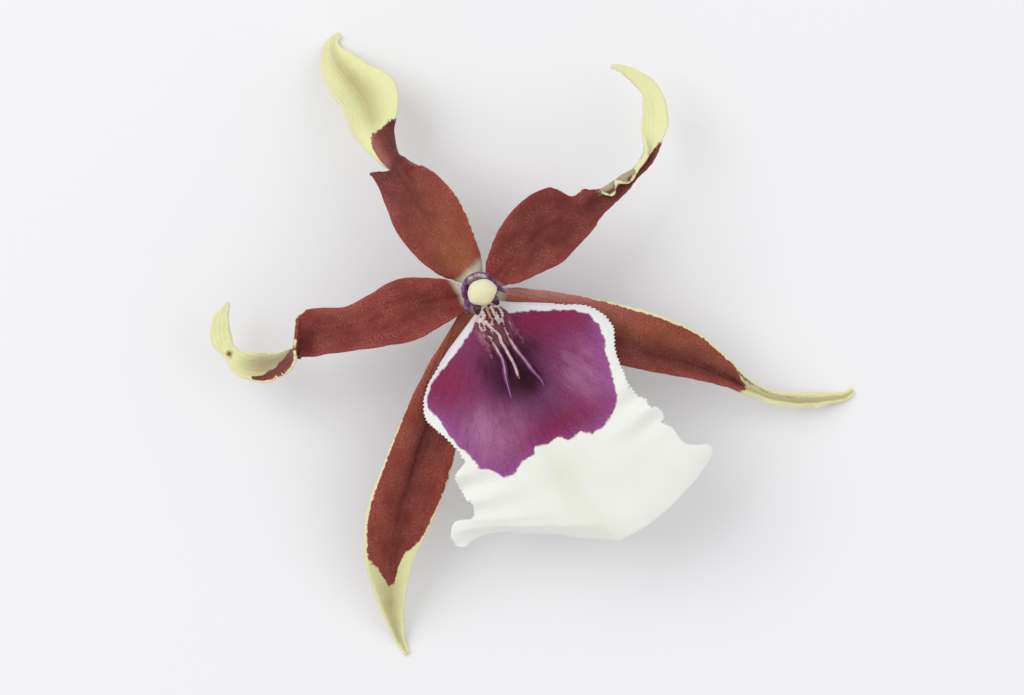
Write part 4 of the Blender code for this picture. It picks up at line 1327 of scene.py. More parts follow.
@dataclass(frozen=True)
class Scatter:
    """Small bumps strewn over a piece by Geometry Nodes.

    Attributes:
        mark: Point attribute of the piece that thins them out.
        per_mm2: Bumps on a square millimetre where the mark is one.
        size: Radius of a bump, in mm.
        seed: Chooses their places.
        smallest: Share of the size that the smallest bump has.
        largest: Share of the size that the largest bump has.
    """

    mark: str
    per_mm2: float
    size: float
    seed: int
    smallest: float = 0.55
    largest: float = 1.25

    def tree(self, material: bpy.types.Material) -> tuple[bpy.types.NodeTree, dict[str, str]]:
        """Build the tree.

        Args:
            material: Finish of the bumps.

        Returns:
            The tree, and the identifier of each named input.
        """
        tree = bpy.data.node_groups.new("strewn_bumps", "GeometryNodeTree")
        sockets = {
            "Geometry": "NodeSocketGeometry",
            "Density": "NodeSocketFloat",
            "Size": "NodeSocketFloat",
        }
        names = {
            name: tree.interface.new_socket(name, in_out="INPUT", socket_type=kind).identifier
            for name, kind in sockets.items()
        }
        tree.interface.new_socket("Geometry", in_out="OUTPUT", socket_type="NodeSocketGeometry")
        add, link = tree.nodes.new, tree.links.new
        source, sink = add("NodeGroupInput"), add("NodeGroupOutput")
        mark = add("GeometryNodeInputNamedAttribute")
        mark.inputs["Name"].default_value = self.mark
        density = add("ShaderNodeMath")
        density.operation = "MULTIPLY"
        link(source.outputs["Density"], density.inputs[0])
        link(mark.outputs["Attribute"], density.inputs[1])
        strew = add("GeometryNodeDistributePointsOnFaces")
        strew.inputs["Seed"].default_value = self.seed
        link(source.outputs["Geometry"], strew.inputs["Mesh"])
        link(density.outputs[0], strew.inputs["Density"])
        spread = add("FunctionNodeRandomValue")
        spread.inputs[2].default_value = self.smallest
        spread.inputs[3].default_value = self.largest
        spread.inputs["Seed"].default_value = self.seed
        size = add("ShaderNodeMath")
        size.operation = "MULTIPLY"
        link(spread.outputs[1], size.inputs[0])
        link(source.outputs["Size"], size.inputs[1])
        bump = add("GeometryNodeMeshIcoSphere")
        bump.inputs["Radius"].default_value = 1.0
        bump.inputs["Subdivisions"].default_value = 1
        stand = add("GeometryNodeInstanceOnPoints")
        link(strew.outputs["Points"], stand.inputs["Points"])
        link(bump.outputs["Mesh"], stand.inputs["Instance"])
        link(strew.outputs["Rotation"], stand.inputs["Rotation"])
        link(size.outputs[0], stand.inputs["Scale"])
        real, dress = add("GeometryNodeRealizeInstances"), add("GeometryNodeSetMaterial")
        dress.inputs["Material"].default_value = material
        link(stand.outputs["Instances"], real.inputs["Geometry"])
        link(real.outputs["Geometry"], dress.inputs["Geometry"])
        link(dress.outputs["Geometry"], sink.inputs["Geometry"])
        return tree, names

    def build(self, host: bpy.types.Object, name: str, material: bpy.types.Material) -> bpy.types.Object:
        """Strew the bumps over a copy of a piece.

        Args:
            host: The piece, with the mark on its points.
            name: Name of the new piece.
            material: Its finish.

        Returns:
            The bumps as one plain mesh.
        """
        item = linked(name, host.data.copy())
        tree, names = self.tree(material)
        nodes = item.modifiers.new("bumps", "NODES")
        nodes.node_group = tree
        nodes[names["Density"]] = self.per_mm2 / MM**2
        nodes[names["Size"]] = self.size * MM
        return settle(item)


# Lip


# Soft spots of each tint: strength, middle x and y, reach in x and y, in mm
LIP_SPOTS = {
    "lavender": (
        (0.4, -1.0, -21.5, 14.0, 6.5), (0.5, -11.0, -22.0, 3.8, 6.0), (0.42, 10.5, -19.5, 4.5, 6.5),
        (0.3, -7.0, -26.0, 5.0, 3.0),
    ),
    "magenta": (
        (1.0, -12.0, -11.5, 6.0, 4.6), (0.9, 9.5, -10.0, 7.5, 4.0), (0.9, 1.5, -26.4, 8.0, 3.0),
        (0.5, 4.5, -8.0, 4.0, 2.5),
    ),
    # The broad maroon spot is the dark throat; the small ones beside and below the keels are partly the
    # throat's colour and partly painted shade of the keels
    "maroon": (
        (0.6, -0.4, -13.5, 8.0, 7.0), (0.3, 0.0, -20.5, 5.0, 5.5), (0.3, -5.0, -12.4, 1.9, 2.2),
        (0.45, 0.2, -17.2, 2.0, 2.2), (0.22, 2.5, -24.0, 4.5, 3.5), (0.3, 2.9, -12.2, 1.8, 1.5),
        (0.25, -4.8, -16.4, 2.0, 2.4),
    ),
}


@dataclass
class Lip:
    """The broad toothed lip with its callus."""

    rows: tuple[LipRow, ...] = (
        LipRow(-1.3, -2.3, 0.0, -2.3, 1.2, -2.3, 1.5, 0.0, 0.0),
        LipRow(-3.4, -3.4, -0.1, -4.0, 2.5, -3.3, 2.1, 0.0, 0.0),
        LipRow(-7.4, -5.4, -0.2, -6.8, 5.4, -4.9, 3.2, 0.6, 0.4),
        LipRow(-12.4, -8.2, -0.2, -10.6, 10.4, -7.4, 4.2, 1.8, 1.6),
        LipRow(-16.6, -11.4, -0.2, -14.2, 15.6, -10.6, 4.8, 2.8, 2.8),
        LipRow(-18.5, -15.4, -0.1, -18.0, 17.6, -14.9, 4.9, 2.8, 2.8),
        LipRow(-17.0, -19.2, 0.0, -21.8, 16.3, -18.8, 4.6, 1.8, 1.8),
        LipRow(-15.9, -23.8, 0.2, -25.6, 15.8, -23.0, 4.2, 1.0, 1.0),
        LipRow(-18.0, -27.6, 0.4, -29.6, 16.8, -27.6, 3.7, 0.6, 0.6),
        LipRow(-18.3, -31.4, 0.6, -33.8, 18.2, -31.2, 3.1, 0.4, 0.4),
        LipRow(-18.6, -33.9, 0.9, -38.0, 18.8, -34.6, 2.4, 0.0, 0.2, 2.0),
        LipRow(-21.4, -33.4, 1.2, -42.0, 20.2, -38.0, 1.6, -0.9, 0.0, 1.3, 1.6),
        LipRow(-23.0, -35.6, 1.5, -45.8, 22.6, -40.4, 0.8, -1.3, 0.0, 0.9, 1.8, 1.2),
        LipRow(-21.4, -38.0, 1.8, -48.8, 23.3, -42.4, -0.2, -1.2, 0.2, 0.8, 2.1, 1.9),
    )
    purple: tuple[tuple[float, float], ...] = (
        (-4.9, -5.5), (-8.1, -7.3), (-11.0, -8.7), (-14.6, -10.3), (-16.5, -12.4), (-17.1, -13.9),
        (-16.2, -16.7), (-16.0, -19.2), (-15.3, -22.1), (-14.2, -24.2), (-13.7, -27.1), (-11.7, -28.5),
        (-10.6, -30.3), (-8.9, -30.6), (-6.7, -29.2), (-4.2, -28.9), (-3.5, -27.8), (-1.4, -28.5),
        (0.8, -28.1), (2.2, -29.4), (4.4, -28.9), (6.1, -30.1), (8.3, -29.9), (10.8, -28.7),
        (12.6, -26.7), (13.3, -23.9), (14.0, -21.0), (14.2, -18.9), (15.1, -16.7), (15.3, -13.9),
        (14.4, -11.4), (12.6, -9.8), (9.0, -8.1), (5.4, -6.5), (2.6, -5.5), (0.0, -4.6), (-3.0, -4.6),
    )
    left_margin: Pairs = (
        (0.50, 0.0), (0.545, -0.1), (0.556, -0.9), (0.585, 0.9), (0.62, 0.25), (0.66, 0.0),
        (0.71, -0.7), (0.769, 0.0), (0.94, 0.0), (0.97, 0.7), (1.0, 0.3),
    )
    right_margin: Pairs = (
        (0.54, 0.0), (0.563, -0.4), (0.617, -0.6), (0.632, 0.1), (0.658, -0.8), (0.677, -0.5),
        (0.686, 0.1), (0.71, 0.3), (0.733, 0.0), (0.744, -0.7), (0.762, -0.2), (0.796, -0.2),
        (0.865, -1.0), (0.894, -0.6), (0.92, 0.3), (0.954, 0.6), (1.0, 0.0),
    )
    thickness: float = 0.7
    ruffle_height: float = 1.0
    ruffle_place: float = 0.64
    ruffle_spread: float = 0.09
    ruffle_count: float = 9.0
    hem_drop: float = 2.8
    hem_length: float = 0.1
    pleat_depth: float = 0.35
    tooth_depth: float = 0.55
    tooth_count: int = 46
    tooth_peak: float = 0.62
    tooth_seed: int = 5
    toothed: tuple[float, float] = (0.23, 0.77)
    grid: tuple[int, int] = (360, 121)
    finish: LipFinish = field(default_factory=LipFinish)
    callus_finish: CallusFinish = field(default_factory=CallusFinish)

    def surface(self, along: np.ndarray, across: np.ndarray) -> np.ndarray:
        """Lay out the lip's face.

        Args:
            along: Places along, 0 at the base to 1 at the edge.
            across: Places across, -1 (left margin) to 1 (right margin).

        Returns:
            Points of the grid, in mm.
        """
        row = LipRow(*blend_rows(np.array(self.rows), along * (len(self.rows) - 1)).T[..., None])
        reach = np.abs(across)[None, :]
        right = across[None, :] > 0.0
        edge_x = np.where(right, row.right_x, row.left_x)
        edge_y = np.where(right, row.right_y, row.left_y)
        drop = np.where(right, row.right_drop, row.left_drop)
        bow = np.where(right, row.right_bow, row.left_bow)
        lift = np.where(right, 0.0, row.left_lift * np.sin(math.pi * reach**2.4))
        out_left = -table(self.left_margin, along)[:, None]
        margin = np.where(right, table(self.right_margin, along)[:, None], out_left)
        x = row.middle_x + (edge_x - row.middle_x) * reach + margin * reach**10
        y = row.middle_y + (edge_y - row.middle_y) * reach**bow + lift
        z = row.height - drop * reach**2.5 + self.waves(along, across)
        return np.stack([x - self.teeth(along, across), y, z], -1)

    def waves(self, along: np.ndarray, across: np.ndarray) -> np.ndarray:
        """Ruffles, steep hem and middle pleat.

        Args:
            along: Places along, 0 to 1.
            across: Places across, -1 to 1.

        Returns:
            Their height on the grid, in mm.
        """
        length, reach = along[:, None], np.abs(across)[None, :]
        inward = 0.75 * reach**3 + 0.25 * np.clip((reach - 0.35) / 0.4, 0.0, 1.0)
        strength = np.exp(-(((length - self.ruffle_place) / self.ruffle_spread) ** 2)) * inward
        phase = np.where(across > 0.0, 1.3, 0.0)[None, :]
        ruffle = self.ruffle_height * strength * np.sin(math.tau * self.ruffle_count * length + phase)
        near = np.maximum(1.0 - (1.0 - length) / self.hem_length, 0.0)
        left = np.clip(-across, 0.0, 1.0)[None, :]
        hem = self.hem_drop * near**1.05 * np.sqrt(np.sin(math.pi * left).clip(0.0))
        grown = np.clip((length - 0.5) / 0.2, 0.0, 1.0)
        crease = across[None, :] - self.crease_place(along)
        return ruffle - hem - self.pleat_depth * grown * np.exp(-((crease / 0.07) ** 2))

    def crease_place(self, along: np.ndarray) -> np.ndarray:
        """Place across of the middle crease at each place along, as a column."""
        return -0.09 * np.clip((1.0 - along) / 0.2, 0.0, 1.0)[:, None]

    def teeth(self, along: np.ndarray, across: np.ndarray) -> np.ndarray:
        """Notches between the teeth of both margins.

        Args:
            along: Places along, 0 to 1.
            across: Places across, -1 to 1.

        Returns:
            Shift of the margins inward on the grid, in mm.
        """
        draw = np.random.default_rng(self.tooth_seed)
        size = draw.uniform(0.45, 1.0, (2, self.tooth_count + 1))
        start, end = self.toothed
        pace = np.clip((along - start) / (end - start), 0.0, 1.0) * self.tooth_count
        index, part = np.minimum(pace.astype(int), self.tooth_count - 1), pace % 1.0
        rise, fall = part / self.tooth_peak, (1.0 - part) / (1.0 - self.tooth_peak)
        profile = np.where(part < self.tooth_peak, rise, fall)
        gate = ((along > start) & (along < end)).astype(float)
        reach = np.abs(across)[None, :] ** 30 * np.sign(across)[None, :]
        chosen = np.where(across[None, :] > 0.0, size[1][index][:, None], size[0][index][:, None])
        return self.tooth_depth * (gate * (1.0 - profile))[:, None] * chosen * reach

    def relief(self, points: np.ndarray) -> np.ndarray:
        """Fanned veins and soft dents over the plain face.

        Args:
            points: Points of the face.

        Returns:
            Their height at each point, in mm.
        """
        angle, radius = self.fan(points)
        veins = 0.03 * np.cos(angle * 5.0 + 0.8 * ripple(angle, 0.2 * radius, 5.0, 3))
        soft = np.clip((radius - 4.0) / 10.0, 0.0, 1.0)
        dents = 0.16 * ripple(points[..., 0], points[..., 1], 11.0, 61)
        return soft * (veins + dents + 0.06 * ripple(angle, 0.15 * radius, 2.6, 62))

    def fan(self, points: np.ndarray) -> tuple[np.ndarray, np.ndarray]:
        """Angle (as mm on a 12 mm circle) and distance about the lip's base."""
        x, y = points[..., 0] + 0.3, points[..., 1] + 3.0
        return 12.0 * np.arctan2(x, -y), np.hypot(x, y)

    def zones(self, points: np.ndarray, across: np.ndarray, along: np.ndarray) -> dict[str, np.ndarray]:
        """Colour zones as values on the grid.

        Args:
            points: Points of the face.
            across: Places across, -1 to 1.
            along: Places along, 0 to 1.

        Returns:
            Values and vectors by attribute name.
        """
        x, y = points[..., 0], points[..., 1]
        flat = points[..., :2].reshape(-1, 2)
        purple = inside_distance(flat, np.array(self.purple)).reshape(x.shape)
        spot = partial(soft_spot, x, y)
        tints = {
            name: np.clip(sum(strength * spot(*bell) for strength, *bell in bells), 0.0, 1.0)
            for name, bells in LIP_SPOTS.items()
        }
        angle, radius = self.fan(points)
        rim = np.clip(1.0 - (1.0 - np.abs(across)) * 9.0, 0.0, 1.0)[None, :]
        upper = np.clip((0.42 - along) / 0.2, 0.0, 1.0)[:, None]
        crease = across[None, :] - self.crease_place(along)
        fold = np.exp(-((crease / 0.10) ** 2)) * np.clip((along - 0.55) / 0.25, 0.0, 1.0)[:, None]
        border = np.exp(-(np.maximum(purple, 0.0) / 2.2)) * np.clip((-y - 11.0) / 5.0, 0.0, 1.0)
        return tints | {
            "purple": purple,
            "violet": 0.85 * border,
            "lilac": upper * np.clip(rim + 0.5, 0.0, 1.0),
            "leaf": np.clip(0.35 * fold + 0.35 * spot(-1.5, -33.0, 4.0, 5.0), 0.0, 1.0),
            "fan": np.stack([angle, radius, np.zeros_like(angle)], -1),
            "papilla": np.clip(1.4 * spot(-0.2, -13.0, 5.5, 5.0), 0.0, 1.0) * (purple > 0.3),
        }

    def blade(self) -> bpy.types.Object:
        """Build the lip's blade."""
        even = np.linspace(-1.0, 1.0, self.grid[1])
        across = 0.6 * even + 0.4 * np.sin(even * math.pi / 2.0)
        along = np.linspace(0.0, 1.0, self.grid[0])
        points = self.surface(along, across)
        points = points + grid_normals(points) * self.relief(points)[..., None]
        marks = self.zones(points, across, along)
        sheet = Sheet(points, self.thickness, end_sharpness=90.0, side_sharpness=24.0)
        return sheet.build("lip_blade", marks)

    def build(self) -> None:
        """Build the blade, callus and papillae, dress and place them."""
        skin = self.finish.material()
        item = self.blade()
        front = point_values(item, "reverse") < 0.5
        mark_points(item, "papillae", point_values(item, "papilla") * front)
        bumps = Scatter("papillae", per_mm2=6.0, size=0.05, seed=7).build(item, "lip_papillae", skin)
        place(item, "lip", skin)
        place(bumps, "lip", skin)
        Callus(self, self.callus_finish).build()


def soft_spot(
    x: np.ndarray, y: np.ndarray, middle_x: float, middle_y: float, reach_x: float, reach_y: float
) -> np.ndarray:
    """Bell of height one about a middle.

    Args:
        x: First place of each point.
        y: Second place of each point.
        middle_x: First place of the middle.
        middle_y: Second place of the middle.
        reach_x: Reach of the bell along x.
        reach_y: Reach of the bell along y.

    Returns:
        Height at each point.
    """
    return np.exp(-(((x - middle_x) / reach_x) ** 2) - ((y - middle_y) / reach_y) ** 2)


def point_values(item: bpy.types.Object, mark: str) -> np.ndarray:
    """Read a point attribute.

    Args:
        item: The object.
        mark: Name of the attribute.

    Returns:
        Its value at each vertex.
    """
    values = np.zeros(len(item.data.vertices), np.float32)
    item.data.attributes[mark].data.foreach_get("value", values)
    return values


class Keel(NamedTuple):
    """One ridge or tooth of the callus: its line, radii and colouring."""

    name: str
    points: tuple[tuple[float, float, float], ...]
    radii: tuple[float, ...]
    lilac: float
    rust: float
    crest: float = 0.8
    pink: float = 0.0


class Stroke(NamedTuple):
    """One cream line on the callus pad: its ends, half-width and how tan it is."""

    x0: float
    y0: float
    x1: float
    y1: float
    half_width: float
    tan: float = 0.0


@dataclass
class Callus:
    """The pad at the lip's base, with its cream lines, keels and teeth."""

    lip: Lip
    finish: CallusFinish
    pad_height: float = 0.55
    pad_along: tuple[float, float] = (0.045, 0.262)
    pad_across: tuple[float, float] = (-0.72, 0.60)
    pad_grid: tuple[int, int] = (150, 140)
    keels: tuple[Keel, ...] = (
        Keel(
            "keel_middle",
            (
                (-1.5, -6.6, 3.4), (-0.8, -8.1, 4.3), (-0.85, -9.6, 4.75), (-0.8, -10.9, 5.05),
                (-0.6, -13.0, 5.6), (-0.8, -15.0, 6.1), (-0.85, -16.3, 6.4),
            ),
            (0.35, 0.5, 0.6, 0.55, 0.55, 0.55, 0.3), 0.25, 1.0, 0.52,
        ),
        Keel(
            "keel_left",
            (
                (-2.4, -7.6, 3.3), (-2.15, -10.2, 4.7), (-2.0, -12.0, 5.1), (-2.75, -15.0, 5.8),
                (-3.4, -17.8, 6.7), (-3.5, -19.0, 7.0),
            ),
            (0.4, 0.6, 0.65, 0.6, 0.4, 0.15), 1.0, 0.0, 0.86,
        ),
        Keel(
            "keel_right",
            (
                (0.5, -7.6, 3.4), (0.6, -10.5, 4.7), (1.0, -12.4, 5.2), (1.4, -14.6, 5.7),
                (1.9, -16.6, 6.3), (2.3, -18.3, 6.8), (2.3, -19.5, 7.1),
            ),
            (0.35, 0.6, 0.65, 0.6, 0.5, 0.35, 0.12), 1.0, 0.0, 0.86,
        ),
        Keel(
            "tooth_left",
            ((-3.0, -6.6, 3.0), (-3.2, -8.2, 3.65), (-3.35, -9.8, 3.95), (-3.4, -11.4, 3.9)),
            (0.5, 0.9, 0.9, 0.5), 1.0, 0.0, 1.2, 1.0,
        ),
        Keel(
            "tooth_right",
            ((1.6, -6.6, 3.0), (1.95, -8.2, 3.65), (2.2, -9.8, 3.95), (2.4, -11.4, 3.9)),
            (0.5, 0.85, 0.85, 0.5), 1.0, 0.0, 1.2, 0.6,
        ),
    )
    strokes: tuple[Stroke, ...] = (
        Stroke(-3.6, -4.2, -1.6, -3.5, 0.38),
        Stroke(-1.6, -3.0, -1.75, -4.3, 0.42),
        Stroke(-3.2, -3.9, -2.3, -4.8, 0.40),
        Stroke(-1.9, -4.4, -2.1, -5.3, 0.24),
        Stroke(-2.1, -5.3, -1.4, -6.3, 0.3),
        Stroke(-1.4, -6.1, -1.35, -7.0, 0.36),
        Stroke(-1.35, -7.0, -0.8, -8.1, 0.24),
        Stroke(-3.5, -4.1, -2.7, -4.9, 0.22),
        Stroke(-2.75, -4.9, -3.1, -5.6, 0.12),
        Stroke(-3.1, -5.6, -3.0, -6.4, 0.14),
        Stroke(-3.0, -6.4, -2.3, -6.5, 0.15),
        Stroke(-2.35, -5.1, -2.4, -6.4, 0.12),
        Stroke(-2.5, -7.6, -2.1, -8.4, 0.14),
        Stroke(-0.5, -3.3, -0.8, -4.7, 0.22, 1.0),
        Stroke(-0.8, -4.7, -0.6, -5.5, 0.18, 1.0),
        Stroke(-0.6, -5.5, -1.1, -6.1, 0.18, 0.7),
        Stroke(0.1, -3.5, 0.15, -5.3, 0.26),
        Stroke(0.15, -5.3, 0.25, -6.4, 0.28),
        Stroke(0.5, -4.8, 0.5, -6.1, 0.2),
        Stroke(0.25, -6.3, 0.95, -6.2, 0.2),
        Stroke(0.95, -6.2, 1.35, -5.4, 0.19),
        Stroke(1.35, -5.4, 1.4, -4.0, 0.2),
        Stroke(0.3, -3.5, 2.1, -3.7, 0.34),
        Stroke(2.0, -3.8, 2.6, -4.7, 0.12, 0.6),
        Stroke(0.9, -6.4, 0.85, -7.2, 0.11),
        Stroke(0.6, -7.7, 0.75, -8.9, 0.15),
    )

    def pad(self) -> bpy.types.Object:
        """Build the pad with its cream lines on the lip's own surface."""
        along = np.linspace(*self.pad_along, self.pad_grid[0])
        across = np.linspace(*self.pad_across, self.pad_grid[1])
        plain = self.lip.surface(along, across)
        x, y = plain[..., 0], plain[..., 1]
        rim = np.clip(1.0 - ((x + 1.0) / 3.5) ** 2 - ((y + 6.2) / 4.7) ** 2, -1.0, 1.0)
        line, tan, gap = self.line_amount(x, y)
        height = self.pad_height * np.clip(rim * 1.8, -0.6, 1.0) + 0.16 * line
        height = height + 0.05 * ripple(x, y, 1.2, 91)
        pink = soft_spot(x, y, -2.75, -5.5, 0.5, 0.9) + 0.7 * soft_spot(x, y, -3.6, -7.5, 0.8, 1.8)
        points = plain + grid_normals(plain) * height[..., None]
        marks = {
            "line": line,
            "tan": tan,
            "dusty": np.clip((gap - 0.35) / 0.8, 0.0, 1.0),
            "skin": np.clip(1.1 - 2.6 * rim + 0.3 * ripple(x, y, 1.6, 93), 0.0, 1.0),
            "lilac": np.clip((-y - 5.5) / 3.0, 0.0, 0.5),
            "pink": np.clip(pink, 0.0, 1.0),
        }
        return Sheet(points, thickness=0.5).build("callus_pad", marks)

    def line_amount(self, x: np.ndarray, y: np.ndarray) -> tuple[np.ndarray, np.ndarray, np.ndarray]:
        """Read the cream lines at plan points.

        Args:
            x: First place of each point, in mm.
            y: Second place of each point, in mm.

        Returns:
            How much each point lies in a line and in a tan one, and its distance to the nearest.
        """
        line, tan, nearest = np.zeros_like(x), np.zeros_like(x), np.full_like(x, 9.0)
        uneven = 1.0 + 0.5 * ripple(x, y, 1.1, 92)
        x, y = x + 0.1 * ripple(x, y, 0.9, 94), y + 0.1 * ripple(x, y, 0.9, 95)
        for stroke in self.strokes:
            run_x, run_y = stroke.x1 - stroke.x0, stroke.y1 - stroke.y0
            share = ((x - stroke.x0) * run_x + (y - stroke.y0) * run_y) / (run_x**2 + run_y**2)
            share = np.clip(share, 0.0, 1.0)
            gap = np.hypot(x - stroke.x0 - share * run_x, y - stroke.y0 - share * run_y)
            amount = np.exp(-((gap / (1.25 * stroke.half_width * uneven)) ** 2))
            tan = np.where(amount > line, stroke.tan, tan)
            line, nearest = np.maximum(line, amount), np.minimum(nearest, gap)
        return line, tan, nearest

    def wobble(self, share: np.ndarray, angle: np.ndarray) -> np.ndarray:
        """Uneven thickness of a keel."""
        return 1.0 + 0.22 * np.sin(share * 20.0 + 2.0 * np.cos(angle)) + 0.07 * np.sin(share * 61.0)

    def keel(self, keel: Keel) -> bpy.types.Object:
        """Build one keel with a thin crest, cream or lilac, and dark flanks.

        Args:
            keel: Its line and colouring.

        Returns:
            The keel.
        """
        rod = Sweep(
            keel.points, keel.radii, rings=90, sides=48, wide=0.75, tall=1.15, pinch=0.7, section=self.wobble
        )
        item = rod.build(keel.name)
        crest, share = point_values(item, "crest"), point_values(item, "share")
        start = keel.crest - 0.4 * keel.lilac * (share > 0.12) * (1.0 - share) ** 2
        flank = np.clip(1.0 - np.abs(crest - 0.5) / 0.4, 0.0, 1.0) * np.clip((share - 0.25) * 4.0, 0.0, 1.0)
        violet = keel.lilac * (1.0 - keel.pink) * flank
        marks = {
            "line": np.clip((crest - start) * 5.0 + 0.5, 0.0, 1.0),
            "pink": keel.pink * np.clip(crest + 0.3, 0.0, 1.0),
            "violet": violet * np.clip(1.6 - 1.4 * share, 0.0, 0.8),
            "tan": np.clip(keel.rust * (0.35 - share), 0.0, 1.0),
            "dusty": np.clip(0.9 - 1.5 * share, 0.0, 1.0),
            "shade": np.clip(1.4 * share - 0.3, 0.0, 0.85),
            "lilac": np.clip(keel.lilac * (0.3 + share), 0.0, 1.0),
            "rust": keel.rust * (share > 0.93) * (share < 0.985) * (crest > 0.0),
        }
        for mark, values in marks.items():
            mark_points(item, mark, values)
        return item

    def build(self) -> None:
        """Build, dress and place the pad and the keels."""
        material = self.finish.material()
        for item in [self.pad()] + [self.keel(keel) for keel in self.keels]:
            place(item, "lip", material)


# Column


class Lobe(NamedTuple):
    """One outgrowth of the column's head."""

    points: tuple[tuple[float, float, float], ...]
    radii: tuple[float, ...]


@dataclass
class Column:
    """The column with its cup, lobes, stigma, cap and pollen."""

    profile: Pairs = (
        (0.0, 8.9), (1.6, 8.9), (1.9, 9.6), (2.15, 10.15), (2.5, 10.45), (2.8, 10.55), (3.0, 10.3),
        (3.1, 9.4), (2.75, 8.0), (2.2, 6.6), (1.95, 5.0), (2.0, 3.6), (2.5, 2.6), (2.5, 2.3), (1.3, 2.3),
        (1.3, -0.9), (0.0, -0.9),
    )
    lobes: tuple[Lobe, ...] = (
        Lobe(((-2.75, -0.2, 8.9), (-3.35, -1.4, 8.9), (-3.9, -2.7, 8.3)), (0.5, 0.6, 0.25)),
        Lobe(((2.05, -0.3, 8.9), (2.85, -1.3, 8.9), (3.6, -2.5, 8.4)), (0.55, 0.45, 0.12)),
        Lobe(((-1.5, -1.4, 8.1), (-2.1, -2.6, 8.1), (-2.5, -3.5, 7.5)), (0.8, 0.7, 0.3)),
        Lobe(((0.9, -1.4, 8.1), (1.2, -2.6, 8.1), (1.4, -3.5, 7.5)), (0.8, 0.7, 0.3)),
        Lobe(((-0.1, -1.2, 8.2), (-0.1, -2.2, 8.4), (-0.1, -3.2, 8.1)), (0.7, 0.55, 0.25)),
    )
    cap_profile: Pairs = (
        (0.0, 13.6), (1.0, 13.4), (1.9, 12.7), (2.35, 11.9), (2.48, 11.1), (2.2, 10.5), (1.75, 9.9),
        (1.5, 9.4), (1.1, 9.4), (1.35, 10.1), (1.7, 11.0), (1.6, 11.8), (1.2, 12.4), (0.7, 12.8),
        (0.0, 12.95),
    )
    cap_corners: tuple[float, ...] = (200.0, -14.0, 112.0)
    strap: Lobe = Lobe(((-0.2, -0.9, 9.6), (-0.2, -0.5, 10.2), (-0.2, 0.0, 10.9)), (0.4, 0.3, 0.4))
    pollen_size: Colour = (0.62, 0.8, 0.62)
    pollen_centres: tuple[Colour, ...] = ((-0.7, -0.2, 11.15), (0.4, -0.2, 11.15))
    stigma_radii: Colour = (1.5, 1.4, 1.6)
    stigma_centre: Colour = (-0.2, -2.5, 6.7)
    notch_size: Colour = (4.2, 3.6, 3.0)
    notch_centre: Colour = (-0.1, -3.1, 10.5)
    voxel: float = 0.1
    finish: ColumnFinish = field(default_factory=ColumnFinish)
    cap_finish: CapFinish = field(default_factory=CapFinish)

    def lean(self, points: np.ndarray) -> np.ndarray:
        """Give the column its oval section, slight lean and uneven rim.

        Args:
            points: Points in mm.

        Returns:
            The points after it.
        """
        x, y, z = points.T
        bend = (np.maximum(z, 0.0) / 10.0) ** 2
        angle = np.arctan2(y, x)
        notches = np.sin(angle * 11.0 + 2.0 * np.sin(2.0 * angle))
        frill = 1.0 + 0.015 * notches * np.clip(z - 9.0, 0.0, 1.0)
        return np.stack([x * frill - 0.35 * bend, y * 0.95 * frill + 0.15 * bend, z], -1)

    def moulded(self, name: str, size: Colour, centre: Colour, mould: Mould) -> bpy.types.Object:
        """Make a stretched ball or block.

        Args:
            name: Name of the object.
            size: Its radii, or its full size for a block, in mm.
            centre: Its centre, in mm.
            mould: Which of the two it is.

        Returns:
            The object.
        """
        shape = bmesh.new()
        if mould is Mould.BALL:
            bmesh.ops.create_uvsphere(shape, u_segments=40, v_segments=24, radius=1.0)
        else:
            bmesh.ops.create_cube(shape, size=1.0)
        bmesh.ops.scale(shape, vec=Vector(size) * MM, verts=shape.verts)
        bmesh.ops.translate(shape, vec=Vector(np.array(centre) + HUB) * MM, verts=shape.verts)
        return from_shape(name, shape)

    def body(self) -> bpy.types.Object:
        """Build the column as one grown skin."""
        parts = [revolve("column_club", self.profile, 90, 96, self.lean)]
        parts += [Sweep(lobe.points, lobe.radii, 24, 20).build("column_lobe") for lobe in self.lobes]
        item = joined("column_skin", parts)
        self.remesh(item)
        cutters = [
            self.moulded("stigma_hollow", self.stigma_radii, self.stigma_centre, Mould.BALL),
            self.moulded("cup_notch", self.notch_size, self.notch_centre, Mould.BLOCK),
        ]
        for cutter in cutters:
            cut = item.modifiers.new("cut", "BOOLEAN")
            cut.operation = "DIFFERENCE"
            cut.object = cutter
            cut.solver = "EXACT"
        self.remesh(item)
        smooth = item.modifiers.new("soften", "SMOOTH")
        smooth.factor = 0.5
        smooth.iterations = 3
        settle(item)
        for cutter in cutters:
            bpy.data.objects.remove(cutter, do_unlink=True)
        return item

    def remesh(self, item: bpy.types.Object) -> None:
        """Add a voxel remesh that fuses what the piece holds.

        Args:
            item: The piece.
        """
        fuse = item.modifiers.new("fuse", "REMESH")
        fuse.mode = "VOXEL"
        fuse.voxel_size = self.voxel * MM

